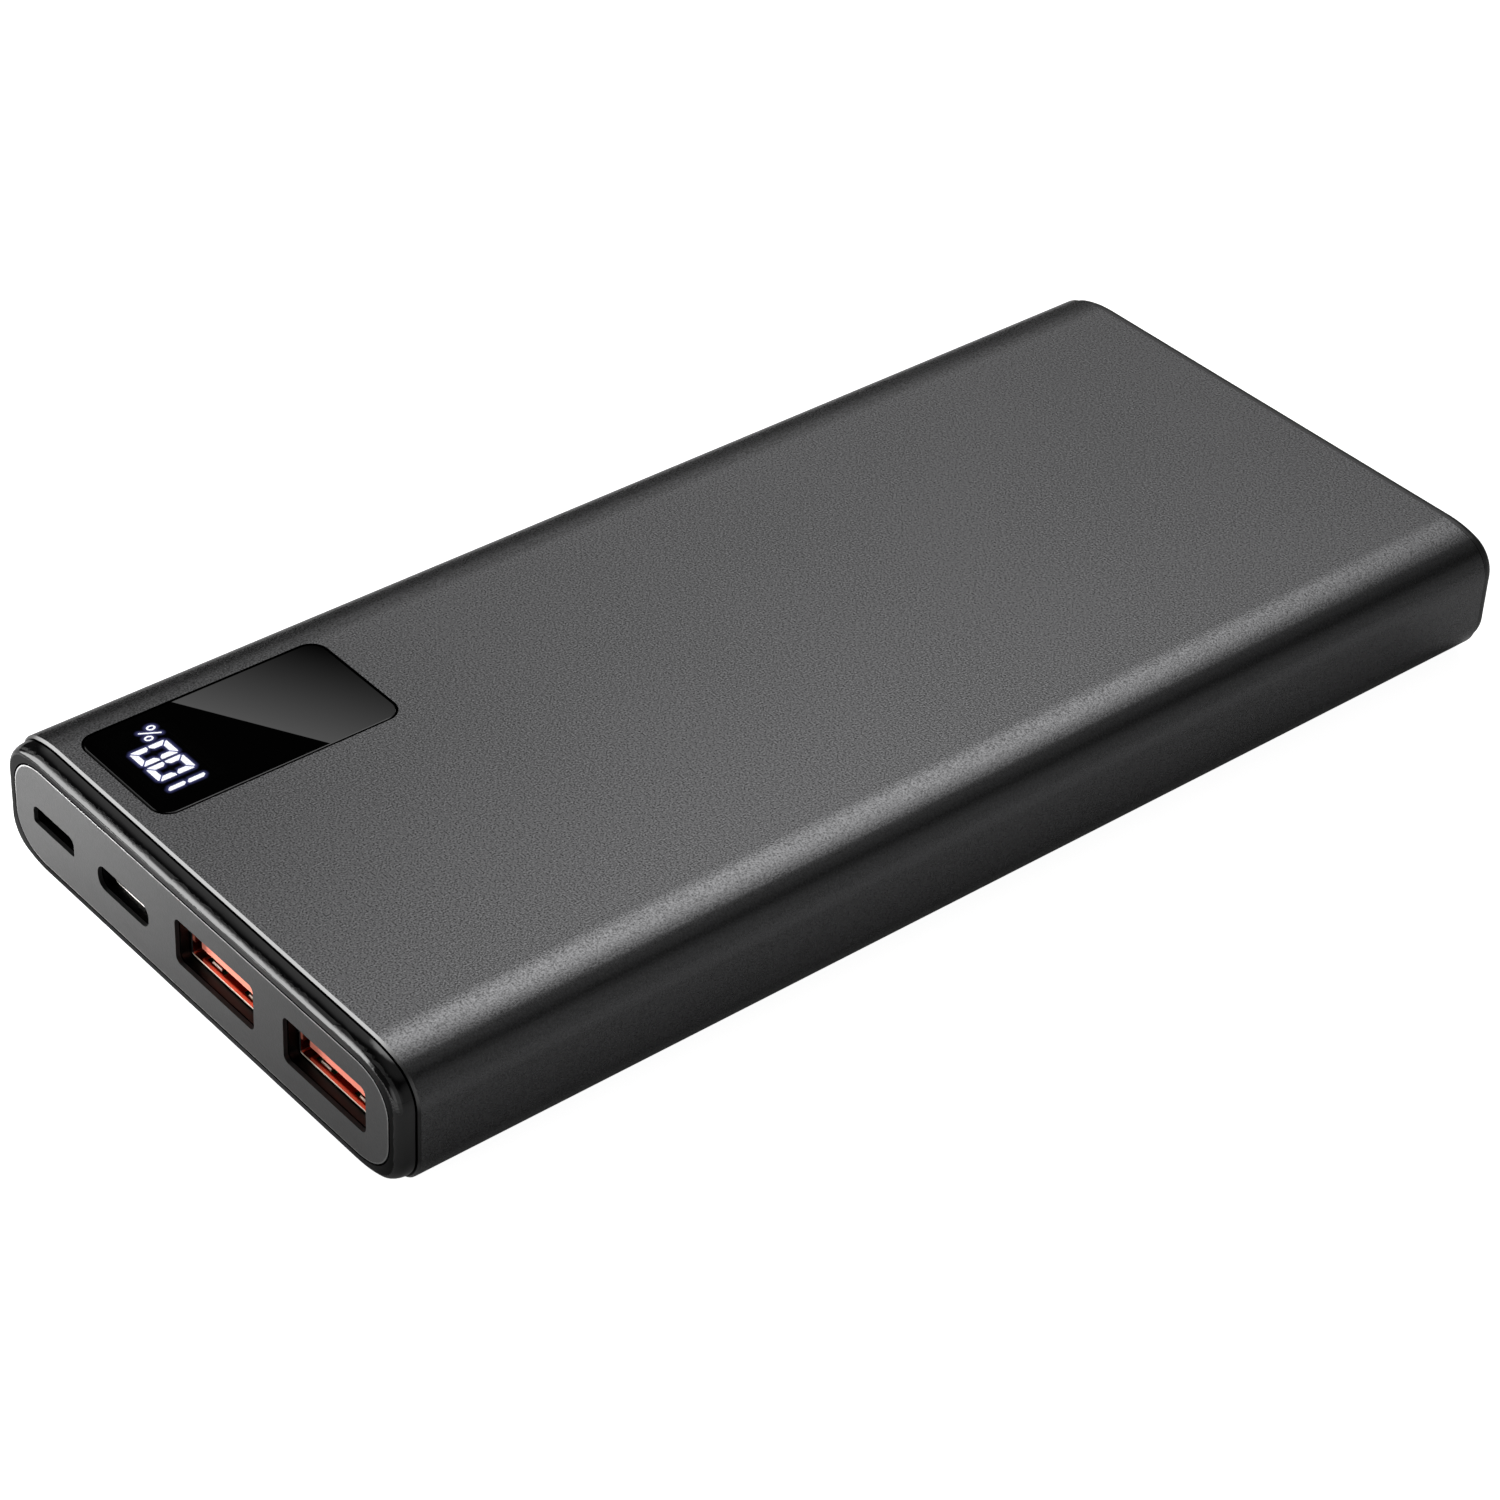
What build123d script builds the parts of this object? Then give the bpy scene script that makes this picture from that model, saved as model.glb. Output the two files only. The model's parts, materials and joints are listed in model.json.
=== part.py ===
from build123d import *
import math
import os

# Slim aluminium power bank with a percentage display, four charging sockets and a side button.
# Millimetres. X runs across the ports, Y from the port end (-Y) to the rear end, Z up.
# The origin is the centre of the footprint, on the surface that the bank lies on.

# ---- body ----
body_width = 69.0
body_height = 15.6
sleeve_length = 146.0
front_overhang = 2.08
rear_overhang = 1.7
shoulder_radius = 13.55
corner_radius = 4.5
shoulder_angle = 18.5
sleeve_wall = 1.2
edge_chamfer = 0.25
rear_edge_chamfer = 0.12

# ---- clearances ----
slide_gap = 0.1
shadow_gap = 0.18
shadow_depth = 0.4
groove = 0.2
pin_gap = 0.08

# ---- front bezel and port panel ----
bezel_inset = 0.4
bezel_round = 0.9
bezel_straight = 0.25
bezel_web_front = 0.64
bezel_web = 1.06
skirt_length = 5.0
skirt_wall = 1.0
panel_inset_x = 2.12
panel_inset_z = 2.04
panel_shoulder = 7.5
panel_corner = 4.1
panel_thickness = 0.5
panel_chamfer = 0.07
tape_thickness = 0.1
rear_inset = 0.32
rear_straight = 0.66
rear_gap = 0.25

# ---- sockets; the outer two keep their distance from the sides of the body ----
usb_a_inner_x = 3.6
usb_a_side = 12.4
usb_a_z = 8.2
usb_a_opening = (13.5, 5.6)
usb_a_opening_z = 8.0
usb_a_opening_radius = 0.75
usb_a_shell = (13.1, 5.72)
usb_a_shell_wall = 0.3
usb_a_shell_length = 14.0
usb_a_shell_radius = 0.7
usb_a_tongue = (11.3, 1.84)
usb_a_tongue_lift = 0.62
usb_a_tongue_setback = 0.65
usb_a_tongue_chamfer = 0.12
usb_a_block_length = 4.6
usb_a_contact_pitch = 2.4
usb_a_contact = (1.1, 8.0, 0.2)
spring_slot = (3.0, 4.4)
spring_slot_offset = 3.15
spring_slot_setback = 0.6
spring_gap = 0.65
spring_tip_gap = 0.12

usb_c_x = -12.55
usb_c_z = 7.28
usb_c_opening = (9.2, 2.95)
usb_c_opening_radius = 1.3
usb_c_shell = (8.94, 3.16)
usb_c_shell_wall = 0.3
usb_c_shell_length = 7.4
usb_c_tongue = (6.7, 0.7)
usb_c_tongue_setback = 0.9
usb_c_block_length = 2.4
usb_c_pad = (0.25, 3.4, 0.06)
usb_c_pad_pitch = 0.5
usb_c_pad_count = 12

micro_side = 9.19
micro_z = 7.6
micro_opening = (7.56, 2.25)
micro_top_corner = 0.85
micro_bottom_corner = 0.35
micro_shell = (7.5, 2.4)
micro_shell_wall = 0.27
micro_shell_length = 5.2
micro_shell_setback = 0.8
micro_tongue = (3.7, 0.6)
micro_block_length = 1.8
foot_width = 1.0

# ---- display window ----
window_side = 6.995
window_start = 2.42
window_size = (15.83, 29.6)
window_radius = 2.0
window_glass = 0.8
window_gap = 0.2
window_bevel = 0.17
window_ledge = 0.6
mask_thickness = 0.1

# ---- lit digits, in the order they are read ----
digit_height = 4.45
digit_width = 2.7
digit_stroke = 0.72
digit_gap = 0.11
digit_tip = 0.35
digit_round = 0.1
digit_start = 6.0
zero_offset = (0.64, -2.41)
one_offset = 3.51
one_stroke = 0.6
percent_offset = -5.51
percent_start = 8.66
percent_size = (2.24, 2.18)
percent_ring = (0.85, 1.03)
percent_stroke = 0.22
percent_slash = (2.45, 60.0)
segment_depth = 1.1
reflector_size = (11.1, 6.4, 1.8)
reflector_offset = -1.21
display_board_thickness = 0.6
display_board_length = 27.65
led_size = (0.8, 0.5, 0.4)

# ---- side button and its switch ----
button_start = 17.0
button_size = (9.8, 2.4)
button_proud = 0.2
button_travel = 0.35
button_flange = (11.6, 4.0, 0.8)
button_nib = (3.0, 2.0)
button_edge = 0.18
switch_size = (3.6, 6.0, 3.6)
switch_inset = 4.0
plunger_radius = 0.9
plunger_reach = 1.2
dome_radius = 1.5
dome_thickness = 0.1

# ---- tray, cells and boards ----
tray_wall = 0.9
tray_rim_z = 10.0
tray_rear_setback = 3.4
tray_boss_radius = 1.6
tray_button_room = 1.0
bezel_boss_radius = 1.9
screw_radius = 0.85
screw_head = (1.3, 0.8)
screw_head_round = 0.3
screw_recess = (1.5, 0.35, 0.45)
bezel_screw_length = 9.0
post_length = 4.0
board_thickness = 1.0
board_top = 5.3
board_start = 0.4
board_end = 27.0
board_side_gap = 1.0
board_notch_gap = 0.3
board_screw_inset = 2.7
board_screw_rows = (9.5, 12.7, 24.0)
boss_x = (-19.2, 12.75)
boss_length = 5.4
inductor_size = (6.8, 6.8, 4.2)
inductor_round = 1.2
inductor_at = ((-4.5, 18.8), (12.75, 18.8))
chip_height = 0.9
controller_size = 5.0
controller_at = ((-12.0, 12.0), (-12.0, 20.0))
transistor_size = (1.8, 2.6)
transistor_pitch = 2.4
transistor_count = 4
transistor_inset = 10.4
transistor_start = 18.3
ceramic_size = (0.8, 1.6, 0.8)
ceramic_pitch = 1.9
ceramic_inset = 7.1
ceramic_gap = 0.8
ceramic_rows = (11.3, 13.8, 23.0)
can_radius = 2.0
can_height = 5.6
can_round = 0.4
can_at = ((1.4, 24.4), (6.4, 24.4))
ribbon_size = (6.0, 0.2)
ribbon_start = 25.6
cell_side_gap = 4.3
cell_start = 33.6
cell_round = 1.4
cell_base = 2.4
cell_pad_thickness = 0.15
cell_terrace = (2.4, 0.5)
terrace_inset = 3.0
tab_size = (4.0, 0.15)
tab_x = (-12.0, 12.0)
tab_foot = 2.0
tab_board = (40.0, 3.0, 0.8)
lead_radius = 0.65
lead_x = (17.4, 21.0)
lead_landing = 2.0
pad_margin = 4.0
foam_thickness = 0.5
foam_gap = 0.15
foam_width = 8.0
foam_x = (-18.0, 0.0, 18.0)
rear_pad_width = 44.0
rear_pad_length = 3.0
rear_pad_lift = 2.0

front_edge = -(front_overhang + sleeve_length + rear_overhang) / 2 + front_overhang
rear_edge = front_edge + sleeve_length
mid_z = body_height / 2
board_under = board_top - board_thickness
skirt_inset = sleeve_wall + slide_gap
panel_face = -front_overhang
web_front = -front_overhang + bezel_web_front
web_back = web_front + bezel_web
screw_seat = web_front + screw_head[1] + pin_gap
tray_inset = sleeve_wall + slide_gap
tray_floor = tray_inset + tray_wall
tray_start = skirt_length + slide_gap
tray_end = sleeve_length - tray_rear_setback
usb_a_x = (usb_a_inner_x, body_width / 2 - usb_a_side)
micro_x = micro_side - body_width / 2
window_x = window_side + window_size[0] / 2 - body_width / 2
zero_x = tuple(window_x + offset for offset in zero_offset)
one_x = window_x + one_offset
percent_x = window_x + percent_offset
reflector_x = window_x + reflector_offset
button_z = mid_z
switch_face_x = switch_inset - body_width / 2
board_half_width = body_width / 2 - tray_floor - board_side_gap
board_screw_x = board_half_width - board_screw_inset
board_screw_at = (
    (-board_screw_x, board_screw_rows[0]),
    (boss_x[1], board_screw_rows[1]),
    (-board_screw_x, board_screw_rows[2]),
    (board_screw_x, board_screw_rows[2]),
)
cell_size = (
    body_width - 2 * (tray_floor + cell_side_gap),
    tray_end - tray_wall - rear_pad_length - cell_start,
    (body_height - sleeve_wall - foam_gap - foam_thickness - cell_pad_thickness - cell_base) / 2,
)
lower_base = cell_base
upper_base = cell_base + cell_size[2] + cell_pad_thickness
protection_low = upper_base - (cell_pad_thickness + tab_board[2]) / 2


def at(distance):
    """Y of a point this far behind the sleeve's front edge."""
    return front_edge + distance


def across(distance, z=0.0):
    """Plane across the body at a distance behind the sleeve's front edge, seen from the port end."""
    return Plane(origin=(0, at(distance), z), x_dir=(1, 0, 0), z_dir=(0, -1, 0))


def shouldered(width, height, shoulder, corner, angle=shoulder_angle):
    """Flat-topped outline whose long shoulder arcs run into small corner arcs."""
    turn = math.radians(angle)
    reach = shoulder * math.sin(turn) + corner * (1 - math.sin(turn))
    flat = width / 2 - reach
    high = height / 2 - shoulder
    small_x = flat + (shoulder - corner) * math.sin(turn)
    small_z = high + (shoulder - corner) * math.cos(turn)
    quarter = [
        Line((0, height / 2), (flat, height / 2)),
        CenterArc((flat, high), shoulder, 90 - angle, angle),
        CenterArc((small_x, small_z), corner, 0, 90 - angle),
        Line((width / 2, small_z), (width / 2, 0)),
    ]
    right = quarter + [mirror(edge, about=Plane.XZ) for edge in quarter]
    return make_face(right + [mirror(edge, about=Plane.YZ) for edge in right])


def body_outline(inset):
    """The body's outline, moved inward by inset."""
    return shouldered(
        body_width - 2 * inset, body_height - 2 * inset, shoulder_radius - inset, corner_radius - inset
    )


def panel_outline(grow):
    """The port panel's outline, moved outward by grow."""
    width = body_width - 2 * panel_inset_x + 2 * grow
    height = body_height - 2 * panel_inset_z + 2 * grow
    return shouldered(width, height, panel_shoulder + grow, panel_corner + grow)


def along(outline, start, end, z=mid_z):
    """Solid that carries an outline from start to end along the body."""
    return extrude(across(end, z) * outline, end - start)


def box(x_from, x_to, start, end, z_from, z_to):
    """Block between two x, two distances along the body and two heights."""
    size = (x_to - x_from, end - start, z_to - z_from)
    middle = ((x_from + x_to) / 2, at((start + end) / 2), (z_from + z_to) / 2)
    return Pos(*middle) * Box(*size)


def upright(outline, x, distance, z_from, z_to):
    """Solid that carries a plan outline from z_from up to z_to."""
    return extrude(Pos(x, at(distance), z_from) * outline, z_to - z_from)


def rod(x, z, radius, start, end):
    """Round bar along the body."""
    return along(Pos(x, z) * Circle(radius), start, end, 0)


def joined(solids):
    """Several separate solids kept in one node."""
    return Compound(children=[piece for solid in solids for piece in solid.solids()])


# ---- case ----


def micro_outline():
    """Micro socket opening: wide rounded corners above, small ones below."""
    opening = Rectangle(*micro_opening)
    upper = opening.vertices().sort_by(Axis.Y)[-2:]
    opening = fillet(upper, micro_top_corner)
    lower = opening.vertices().sort_by(Axis.Y)[:2]
    return fillet(lower, micro_bottom_corner)


def socket_openings(start, end):
    """The four passages through the panel and the bezel's web."""
    cuts = [
        along(Pos(micro_x, micro_z) * micro_outline(), start, end, 0),
        along(Pos(usb_c_x, usb_c_z) * RectangleRounded(*usb_c_opening, usb_c_opening_radius), start, end, 0),
    ]
    for x in usb_a_x:
        outline = RectangleRounded(*usb_a_opening, usb_a_opening_radius)
        cuts.append(along(Pos(x, usb_a_opening_z) * outline, start, end, 0))
    return cuts


def micro_room(start, end):
    """Space that the micro socket's shell needs inside the case."""
    half = micro_shell[0] / 2 + pin_gap
    reach = micro_shell[1] / 2 + pin_gap
    return box(micro_x - half, micro_x + half, start, end, micro_z - reach, micro_z + reach)


def window_outline(grow):
    """Plan outline of the display window, moved outward by grow."""
    width, length = window_size
    return RectangleRounded(width + 2 * grow, length + 2 * grow, window_radius + grow)


def window_plate(grow, z_from, z_to):
    """Plate with the window's outline between two heights."""
    return upright(window_outline(grow), window_x, window_start + window_size[1] / 2, z_from, z_to)


def button_slab(width, height, x_from, x_to):
    """Rounded-end slab across the side wall, at the button."""
    plane = Plane(origin=(x_from, at(button_start), button_z), x_dir=(0, 1, 0), z_dir=(1, 0, 0))
    return extrude(plane * SlotOverall(width, height), x_to - x_from)


def sleeve():
    """Extruded aluminium tube with a window pocket, a button slot and bright chamfered front edge."""
    tube = along(body_outline(0), 0, sleeve_length)
    front = tube.faces().sort_by(Axis.Y)[0]
    tube = chamfer(front.edges(), edge_chamfer)
    rear = tube.faces().sort_by(Axis.Y)[-1]
    tube = chamfer(rear.edges(), rear_edge_chamfer)
    tube -= along(body_outline(sleeve_wall), 0, sleeve_length)
    pocket_floor = body_height - window_glass - mask_thickness
    tube -= window_plate(window_gap, pocket_floor, body_height)
    tube -= window_plate(-window_ledge, mid_z, body_height)
    slot = (button_size[0] + 2 * pin_gap, button_size[1] + 2 * pin_gap)
    tube -= button_slab(*slot, -body_width / 2, -body_width / 2 + 2 * sleeve_wall)
    return tube


def bulge(start_inset, radial, axial, from_distance, direction, steps=6):
    """Loft whose outline rounds inward along a quarter ellipse towards one end."""
    sections = []
    for step in range(steps + 1):
        angle = math.pi / 2 * step / steps
        inset = start_inset + radial * (1 - math.cos(angle))
        distance = from_distance + direction * axial * math.sin(angle)
        sections.append(across(distance, mid_z) * body_outline(inset))
    return loft(sections)


def front_bezel():
    """Gloss black moulding: rounded rim, panel seat, web with four passages, bosses and rear skirt."""
    rim = bulge(bezel_inset, bezel_round, front_overhang - bezel_straight, -bezel_straight, -1)
    rim += along(body_outline(bezel_inset), -bezel_straight, -shadow_gap)
    rim += along(body_outline(bezel_inset + shadow_depth), -shadow_gap, 0)
    seat = panel_outline(groove)
    rim -= along(seat, -front_overhang, web_front)
    rim += along(body_outline(skirt_inset), 0, skirt_length)
    hollow = along(body_outline(skirt_inset + skirt_wall), web_back, skirt_length)
    rim -= hollow
    for cut in socket_openings(-front_overhang, web_back):
        rim -= cut
    rim -= micro_room(web_back, skirt_length)
    for x in boss_x:
        rim += rod(x, mid_z, bezel_boss_radius, web_back, boss_length)
        rim -= rod(x, mid_z, screw_radius + pin_gap, -front_overhang, boss_length)
        rim -= rod(x, mid_z, screw_head[0] + pin_gap, -front_overhang, screw_seat)
    return rim


def port_panel():
    """Thin satin plate around the sockets, with a bright chamfered rim."""
    plate = along(panel_outline(0), panel_face, panel_face + panel_thickness)
    face = plate.faces().sort_by(Axis.Y)[0]
    plate = chamfer(face.edges(), panel_chamfer)
    for cut in socket_openings(panel_face, panel_face + panel_thickness):
        plate -= cut
    return plate


def panel_tape():
    """Adhesive sheet behind the panel; it covers the two bezel screws."""
    start = panel_face + panel_thickness
    sheet = along(panel_outline(-groove), start, start + tape_thickness)
    for cut in socket_openings(start, start + tape_thickness):
        sheet -= cut
    return sheet


def rear_cap():
    """Black end cap with a rounded edge, a shadow gap and a skirt inside the sleeve."""
    round_start = sleeve_length + rear_straight
    round_size = rear_overhang - rear_straight
    cap = bulge(rear_inset, round_size, round_size, round_start, 1)
    gap_end = sleeve_length + rear_gap
    cap += along(body_outline(rear_inset), gap_end, round_start)
    cap += along(body_outline(rear_inset + shadow_depth), sleeve_length, gap_end)
    skirt_start = tray_end + slide_gap
    cap += along(body_outline(skirt_inset), skirt_start, sleeve_length)
    cap -= along(body_outline(skirt_inset + skirt_wall), skirt_start, sleeve_length)
    return cap


# ---- display ----


def window_lens():
    """Smoked glass window, flush with the top and bevelled all round."""
    glass = window_plate(0, body_height - window_glass, body_height)
    top = glass.faces().sort_by(Axis.Z)[-1]
    return chamfer(top.edges(), window_bevel)


def window_mask():
    """Black adhesive sheet under the glass, open over the display."""
    under = body_height - window_glass
    sheet = window_plate(0, under - mask_thickness, under)
    width, length, _ = reflector_size
    half = width / 2 + slide_gap
    start = digit_start + digit_height / 2 - length / 2 - slide_gap
    return sheet - box(
        reflector_x - half, reflector_x + half, start, start + length + 2 * slide_gap, mid_z, body_height
    )


def polygon(points):
    """Face bounded by straight lines through the points."""
    return make_face(Polyline(*points, close=True))


def rounded(face, radius):
    """The face with all its corners rounded."""
    return fillet(face.vertices(), radius)


def end_segment():
    """Short segment across the end of a zero, centred on its digit, at +Y."""
    long_half = digit_width / 2 - digit_gap
    short_half = long_half - digit_stroke
    outer = digit_height / 2
    points = [(-long_half, outer), (long_half, outer), (short_half, outer - digit_stroke)]
    points.append((-short_half, outer - digit_stroke))
    return rounded(polygon(points), digit_round)


def side_segment():
    """Long segment on the +X side of a zero, from near its middle to the +Y end."""
    outer = digit_width / 2
    inner = outer - digit_stroke
    low = digit_gap
    high = digit_height / 2 - digit_gap
    points = [(outer, low), (outer, high), (inner, high - digit_stroke), (inner, low + digit_tip)]
    points.append((outer - digit_stroke / 2, low))
    return rounded(polygon(points), digit_round)


def bar_segment():
    """Half of the digit one: a bar with slanted ends, from near its middle to the +Y end."""
    half = one_stroke / 2
    low = digit_gap
    high = digit_height / 2
    points = [(half, low), (half, high - digit_tip), (0, high), (-half, high)]
    points += [(-half, low + digit_tip), (0, low)]
    return rounded(polygon(points), digit_round)


def middle_segment():
    """Unlit bar across the middle of a zero."""
    half = digit_width / 2 - digit_stroke - digit_gap
    thick = digit_tip - digit_gap
    points = [(half, 0), (half - thick, thick), (thick - half, thick), (-half, 0)]
    points += [(thick - half, -thick), (half - thick, -thick)]
    return polygon(points)


def percent_faces():
    """Per cent sign: two oval rings and a slanting stroke."""
    width, height = percent_size
    ring_width, ring_height = percent_ring
    faces = []
    for side in (-1, 1):
        outer = Ellipse(ring_width / 2, ring_height / 2)
        inner = Ellipse(ring_width / 2 - percent_stroke, ring_height / 2 - percent_stroke)
        place = Pos(-side * (width - ring_width) / 2, side * (height - ring_height) / 2)
        faces.append(place * (outer - inner))
    length, slant = percent_slash
    faces.append(Rot(0, 0, slant) * SlotOverall(length, percent_stroke))
    return faces


def lit_faces():
    """Every lit segment in plan: one, zero, zero and the per cent sign."""
    middle = at(digit_start + digit_height / 2)
    faces = []
    for flip in (0, 180):
        faces.append(Pos(one_x, middle) * Rot(0, 0, flip) * bar_segment())
    for x in zero_x:
        for flip in (0, 180):
            faces.append(Pos(x, middle) * Rot(0, 0, flip) * end_segment())
            faces.append(Pos(x, middle) * Rot(0, 0, flip) * side_segment())
            faces.append(Pos(x, middle) * Rot(0, 0, flip) * mirror(side_segment(), about=Plane.YZ))
    percent_middle = at(percent_start + percent_size[1] / 2)
    faces += [Pos(percent_x, percent_middle) * face for face in percent_faces()]
    return faces


def unlit_faces():
    """The two middle bars that stay dark."""
    middle = at(digit_start + digit_height / 2)
    return [Pos(x, middle) * middle_segment() for x in zero_x]


def segment_solids(faces):
    """Light guides that fill the reflector's wells, flush with its face."""
    top = body_height - window_glass
    return [extrude(Pos(0, 0, top - segment_depth) * face, segment_depth) for face in faces]


def lit_segments():
    return joined(segment_solids(lit_faces()))


def unlit_segments():
    return joined(segment_solids(unlit_faces()))


def reflector_block():
    """Outside of the display module."""
    width, length, height = reflector_size
    top = body_height - window_glass
    start = digit_start + digit_height / 2 - length / 2
    return box(reflector_x - width / 2, reflector_x + width / 2, start, start + length, top - height, top)


def display_reflector():
    """Black-faced display module with one well for each segment."""
    block = reflector_block()
    for well in segment_solids(lit_faces() + unlit_faces()):
        block -= well
    for chip in led_chips():
        block -= chip
    return block


def led_chips():
    """Light-emitting chips on the display board, under the digits."""
    width, length, height = led_size
    under = body_height - window_glass - reflector_size[2]
    middle = digit_start + digit_height / 2
    chips = []
    for x in (one_x,) + zero_x + (percent_x,):
        for offset in (-digit_height / 4, digit_height / 4):
            start = middle + offset - length / 2
            chips.append(box(x - width / 2, x + width / 2, start, start + length, under, under + height))
    return chips


def display_leds():
    return joined(led_chips())


def display_board():
    """Small circuit board that carries the display."""
    top = body_height - window_glass - reflector_size[2]
    half = window_size[0] / 2 - window_ledge
    start = window_start + window_ledge
    end = start + display_board_length
    return box(window_x - half, window_x + half, start, end, top - display_board_thickness, top)


# ---- sockets ----


def tube_outline(size, wall, radius):
    """Rounded rectangular ring."""
    outer = RectangleRounded(*size, radius)
    inner = RectangleRounded(size[0] - 2 * wall, size[1] - 2 * wall, radius - wall)
    return outer - inner


def usb_a_shell_solid(x):
    """Folded steel shell with two spring fingers in its floor and two in its roof."""
    outline = tube_outline(usb_a_shell, usb_a_shell_wall, usb_a_shell_radius)
    shell = along(Pos(x, usb_a_z) * outline, web_back, web_back + usb_a_shell_length, 0)
    width, length = spring_slot
    start = web_back + spring_slot_setback
    half = usb_a_shell[1] / 2
    for side in (-1, 1):
        middle = x + side * spring_slot_offset
        finger = box(
            middle - width / 2 + spring_gap,
            middle + width / 2 - spring_gap,
            start + spring_tip_gap,
            start + length,
            usb_a_z - half,
            usb_a_z + half,
        )
        slot = box(middle - width / 2, middle + width / 2, start, start + length, 0, body_height)
        shell -= slot - finger
    return shell


def usb_a_shells():
    return joined([usb_a_shell_solid(x) for x in usb_a_x])


def usb_a_tongue_solid(x):
    """Coloured tongue with its rear block."""
    floor = usb_a_z - usb_a_shell[1] / 2 + usb_a_shell_wall
    low = floor + usb_a_tongue_lift
    half = usb_a_tongue[0] / 2
    end = web_back + usb_a_shell_length
    start = web_back + usb_a_tongue_setback
    tongue = box(x - half, x + half, start, end, low, low + usb_a_tongue[1])
    corners = tongue.faces().sort_by(Axis.Y)[0].edges().filter_by(Axis.X)
    tongue = chamfer(corners, usb_a_tongue_chamfer)
    inner = RectangleRounded(
        usb_a_shell[0] - 2 * usb_a_shell_wall,
        usb_a_shell[1] - 2 * usb_a_shell_wall,
        usb_a_shell_radius - usb_a_shell_wall,
    )
    return tongue + along(Pos(x, usb_a_z) * inner, end - usb_a_block_length, end, 0)


def usb_a_tongues():
    return joined([usb_a_tongue_solid(x) for x in usb_a_x])


def usb_a_contacts():
    """Four contact strips on each tongue."""
    width, length, thickness = usb_a_contact
    low = usb_a_z - usb_a_shell[1] / 2 + usb_a_shell_wall + usb_a_tongue_lift + usb_a_tongue[1]
    end = web_back + usb_a_shell_length - usb_a_block_length
    strips = []
    for x in usb_a_x:
        for index in range(4):
            middle = x + (index - 1.5) * usb_a_contact_pitch
            strips.append(
                box(middle - width / 2, middle + width / 2, end - length, end, low, low + thickness)
            )
    return joined(strips)


def feet(x, half, start, length, low):
    """Pairs of solder feet that stand a raised shell on the board."""
    legs = []
    for side in (-1, 1):
        for offset in (0.0, length - foot_width):
            inner = x + side * (half - 2 * usb_c_shell_wall)
            outer = x + side * (half - usb_c_shell_wall / 2)
            begin = start + offset
            legs.append(box(min(inner, outer), max(inner, outer), begin, begin + foot_width, board_top, low))
    return legs


def usb_c_shell_node():
    """Drawn steel shell of the reversible socket, standing on four feet."""
    outline = tube_outline(usb_c_shell, usb_c_shell_wall, usb_c_shell[1] / 2 - shadow_gap)
    shell = along(Pos(usb_c_x, usb_c_z) * outline, web_back, web_back + usb_c_shell_length, 0)
    low = usb_c_z - usb_c_shell[1] / 2
    half = usb_c_shell[0] / 2 - usb_c_opening_radius
    for leg in feet(usb_c_x, half, board_start, usb_c_shell_length - foot_width, low + usb_c_shell_wall / 2):
        shell += leg
    return shell


def usb_c_tongue_node():
    """Thin central tongue on its rear block."""
    half = usb_c_tongue[0] / 2
    thick = usb_c_tongue[1] / 2
    end = web_back + usb_c_shell_length
    tongue = box(
        usb_c_x - half, usb_c_x + half, web_back + usb_c_tongue_setback, end, usb_c_z - thick, usb_c_z + thick
    )
    inner = RectangleRounded(
        usb_c_shell[0] - 2 * usb_c_shell_wall,
        usb_c_shell[1] - 2 * usb_c_shell_wall,
        usb_c_shell[1] / 2 - usb_c_shell_wall - shadow_gap,
    )
    return tongue + along(Pos(usb_c_x, usb_c_z) * inner, end - usb_c_block_length, end, 0)


def usb_c_contacts():
    """Rows of contact pads on both faces of the tongue."""
    width, length, thickness = usb_c_pad
    half = width / 2
    start = web_back + usb_c_tongue_setback + usb_c_pad_pitch
    pads = []
    for index in range(usb_c_pad_count):
        middle = usb_c_x + (index - (usb_c_pad_count - 1) / 2) * usb_c_pad_pitch
        for low in (usb_c_z + usb_c_tongue[1] / 2, usb_c_z - usb_c_tongue[1] / 2 - thickness):
            pads.append(box(middle - half, middle + half, start, start + length, low, low + thickness))
    return joined(pads)


def micro_usb_shell():
    """Small input socket's shell, standing on four feet."""
    outline = tube_outline(micro_shell, micro_shell_wall, micro_top_corner)
    start = web_back + micro_shell_setback
    shell = along(Pos(micro_x, micro_z) * outline, start, start + micro_shell_length, 0)
    low = micro_z - micro_shell[1] / 2
    half = micro_shell[0] / 2 - micro_top_corner
    for leg in feet(micro_x, half, board_start, micro_shell_length - foot_width, low + micro_shell_wall / 2):
        shell += leg
    return shell


def micro_usb_tongue():
    """Input socket's tongue on its rear block."""
    end = web_back + micro_shell_setback + micro_shell_length
    half = micro_tongue[0] / 2
    start = web_back + 2 * micro_shell_setback
    tongue = box(micro_x - half, micro_x + half, start, end, micro_z, micro_z + micro_tongue[1])
    inner = RectangleRounded(
        micro_shell[0] - 2 * micro_shell_wall,
        micro_shell[1] - 2 * micro_shell_wall,
        micro_top_corner - micro_shell_wall,
    )
    return tongue + along(Pos(micro_x, micro_z) * inner, end - micro_block_length, end, 0)


# ---- button and switch ----


def side_button():
    """Side key: rounded cap through the sleeve, retaining flange and inner nib."""
    outer = -body_width / 2 - button_proud
    flange_face = -body_width / 2 + sleeve_wall + slide_gap
    key = button_slab(*button_size, outer, flange_face)
    rim = key.faces().sort_by(Axis.X)[0]
    key = fillet(rim.edges(), button_edge)
    long_side, height, thickness = button_flange
    key += button_slab(long_side, height, flange_face, flange_face + thickness)
    nib_length, nib_height = button_nib
    end = switch_face_x - plunger_reach
    middle = button_start - nib_length / 2
    low = button_z - nib_height / 2
    return key + box(flange_face + thickness, end, middle, middle + nib_length, low, low + nib_height)


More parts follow.
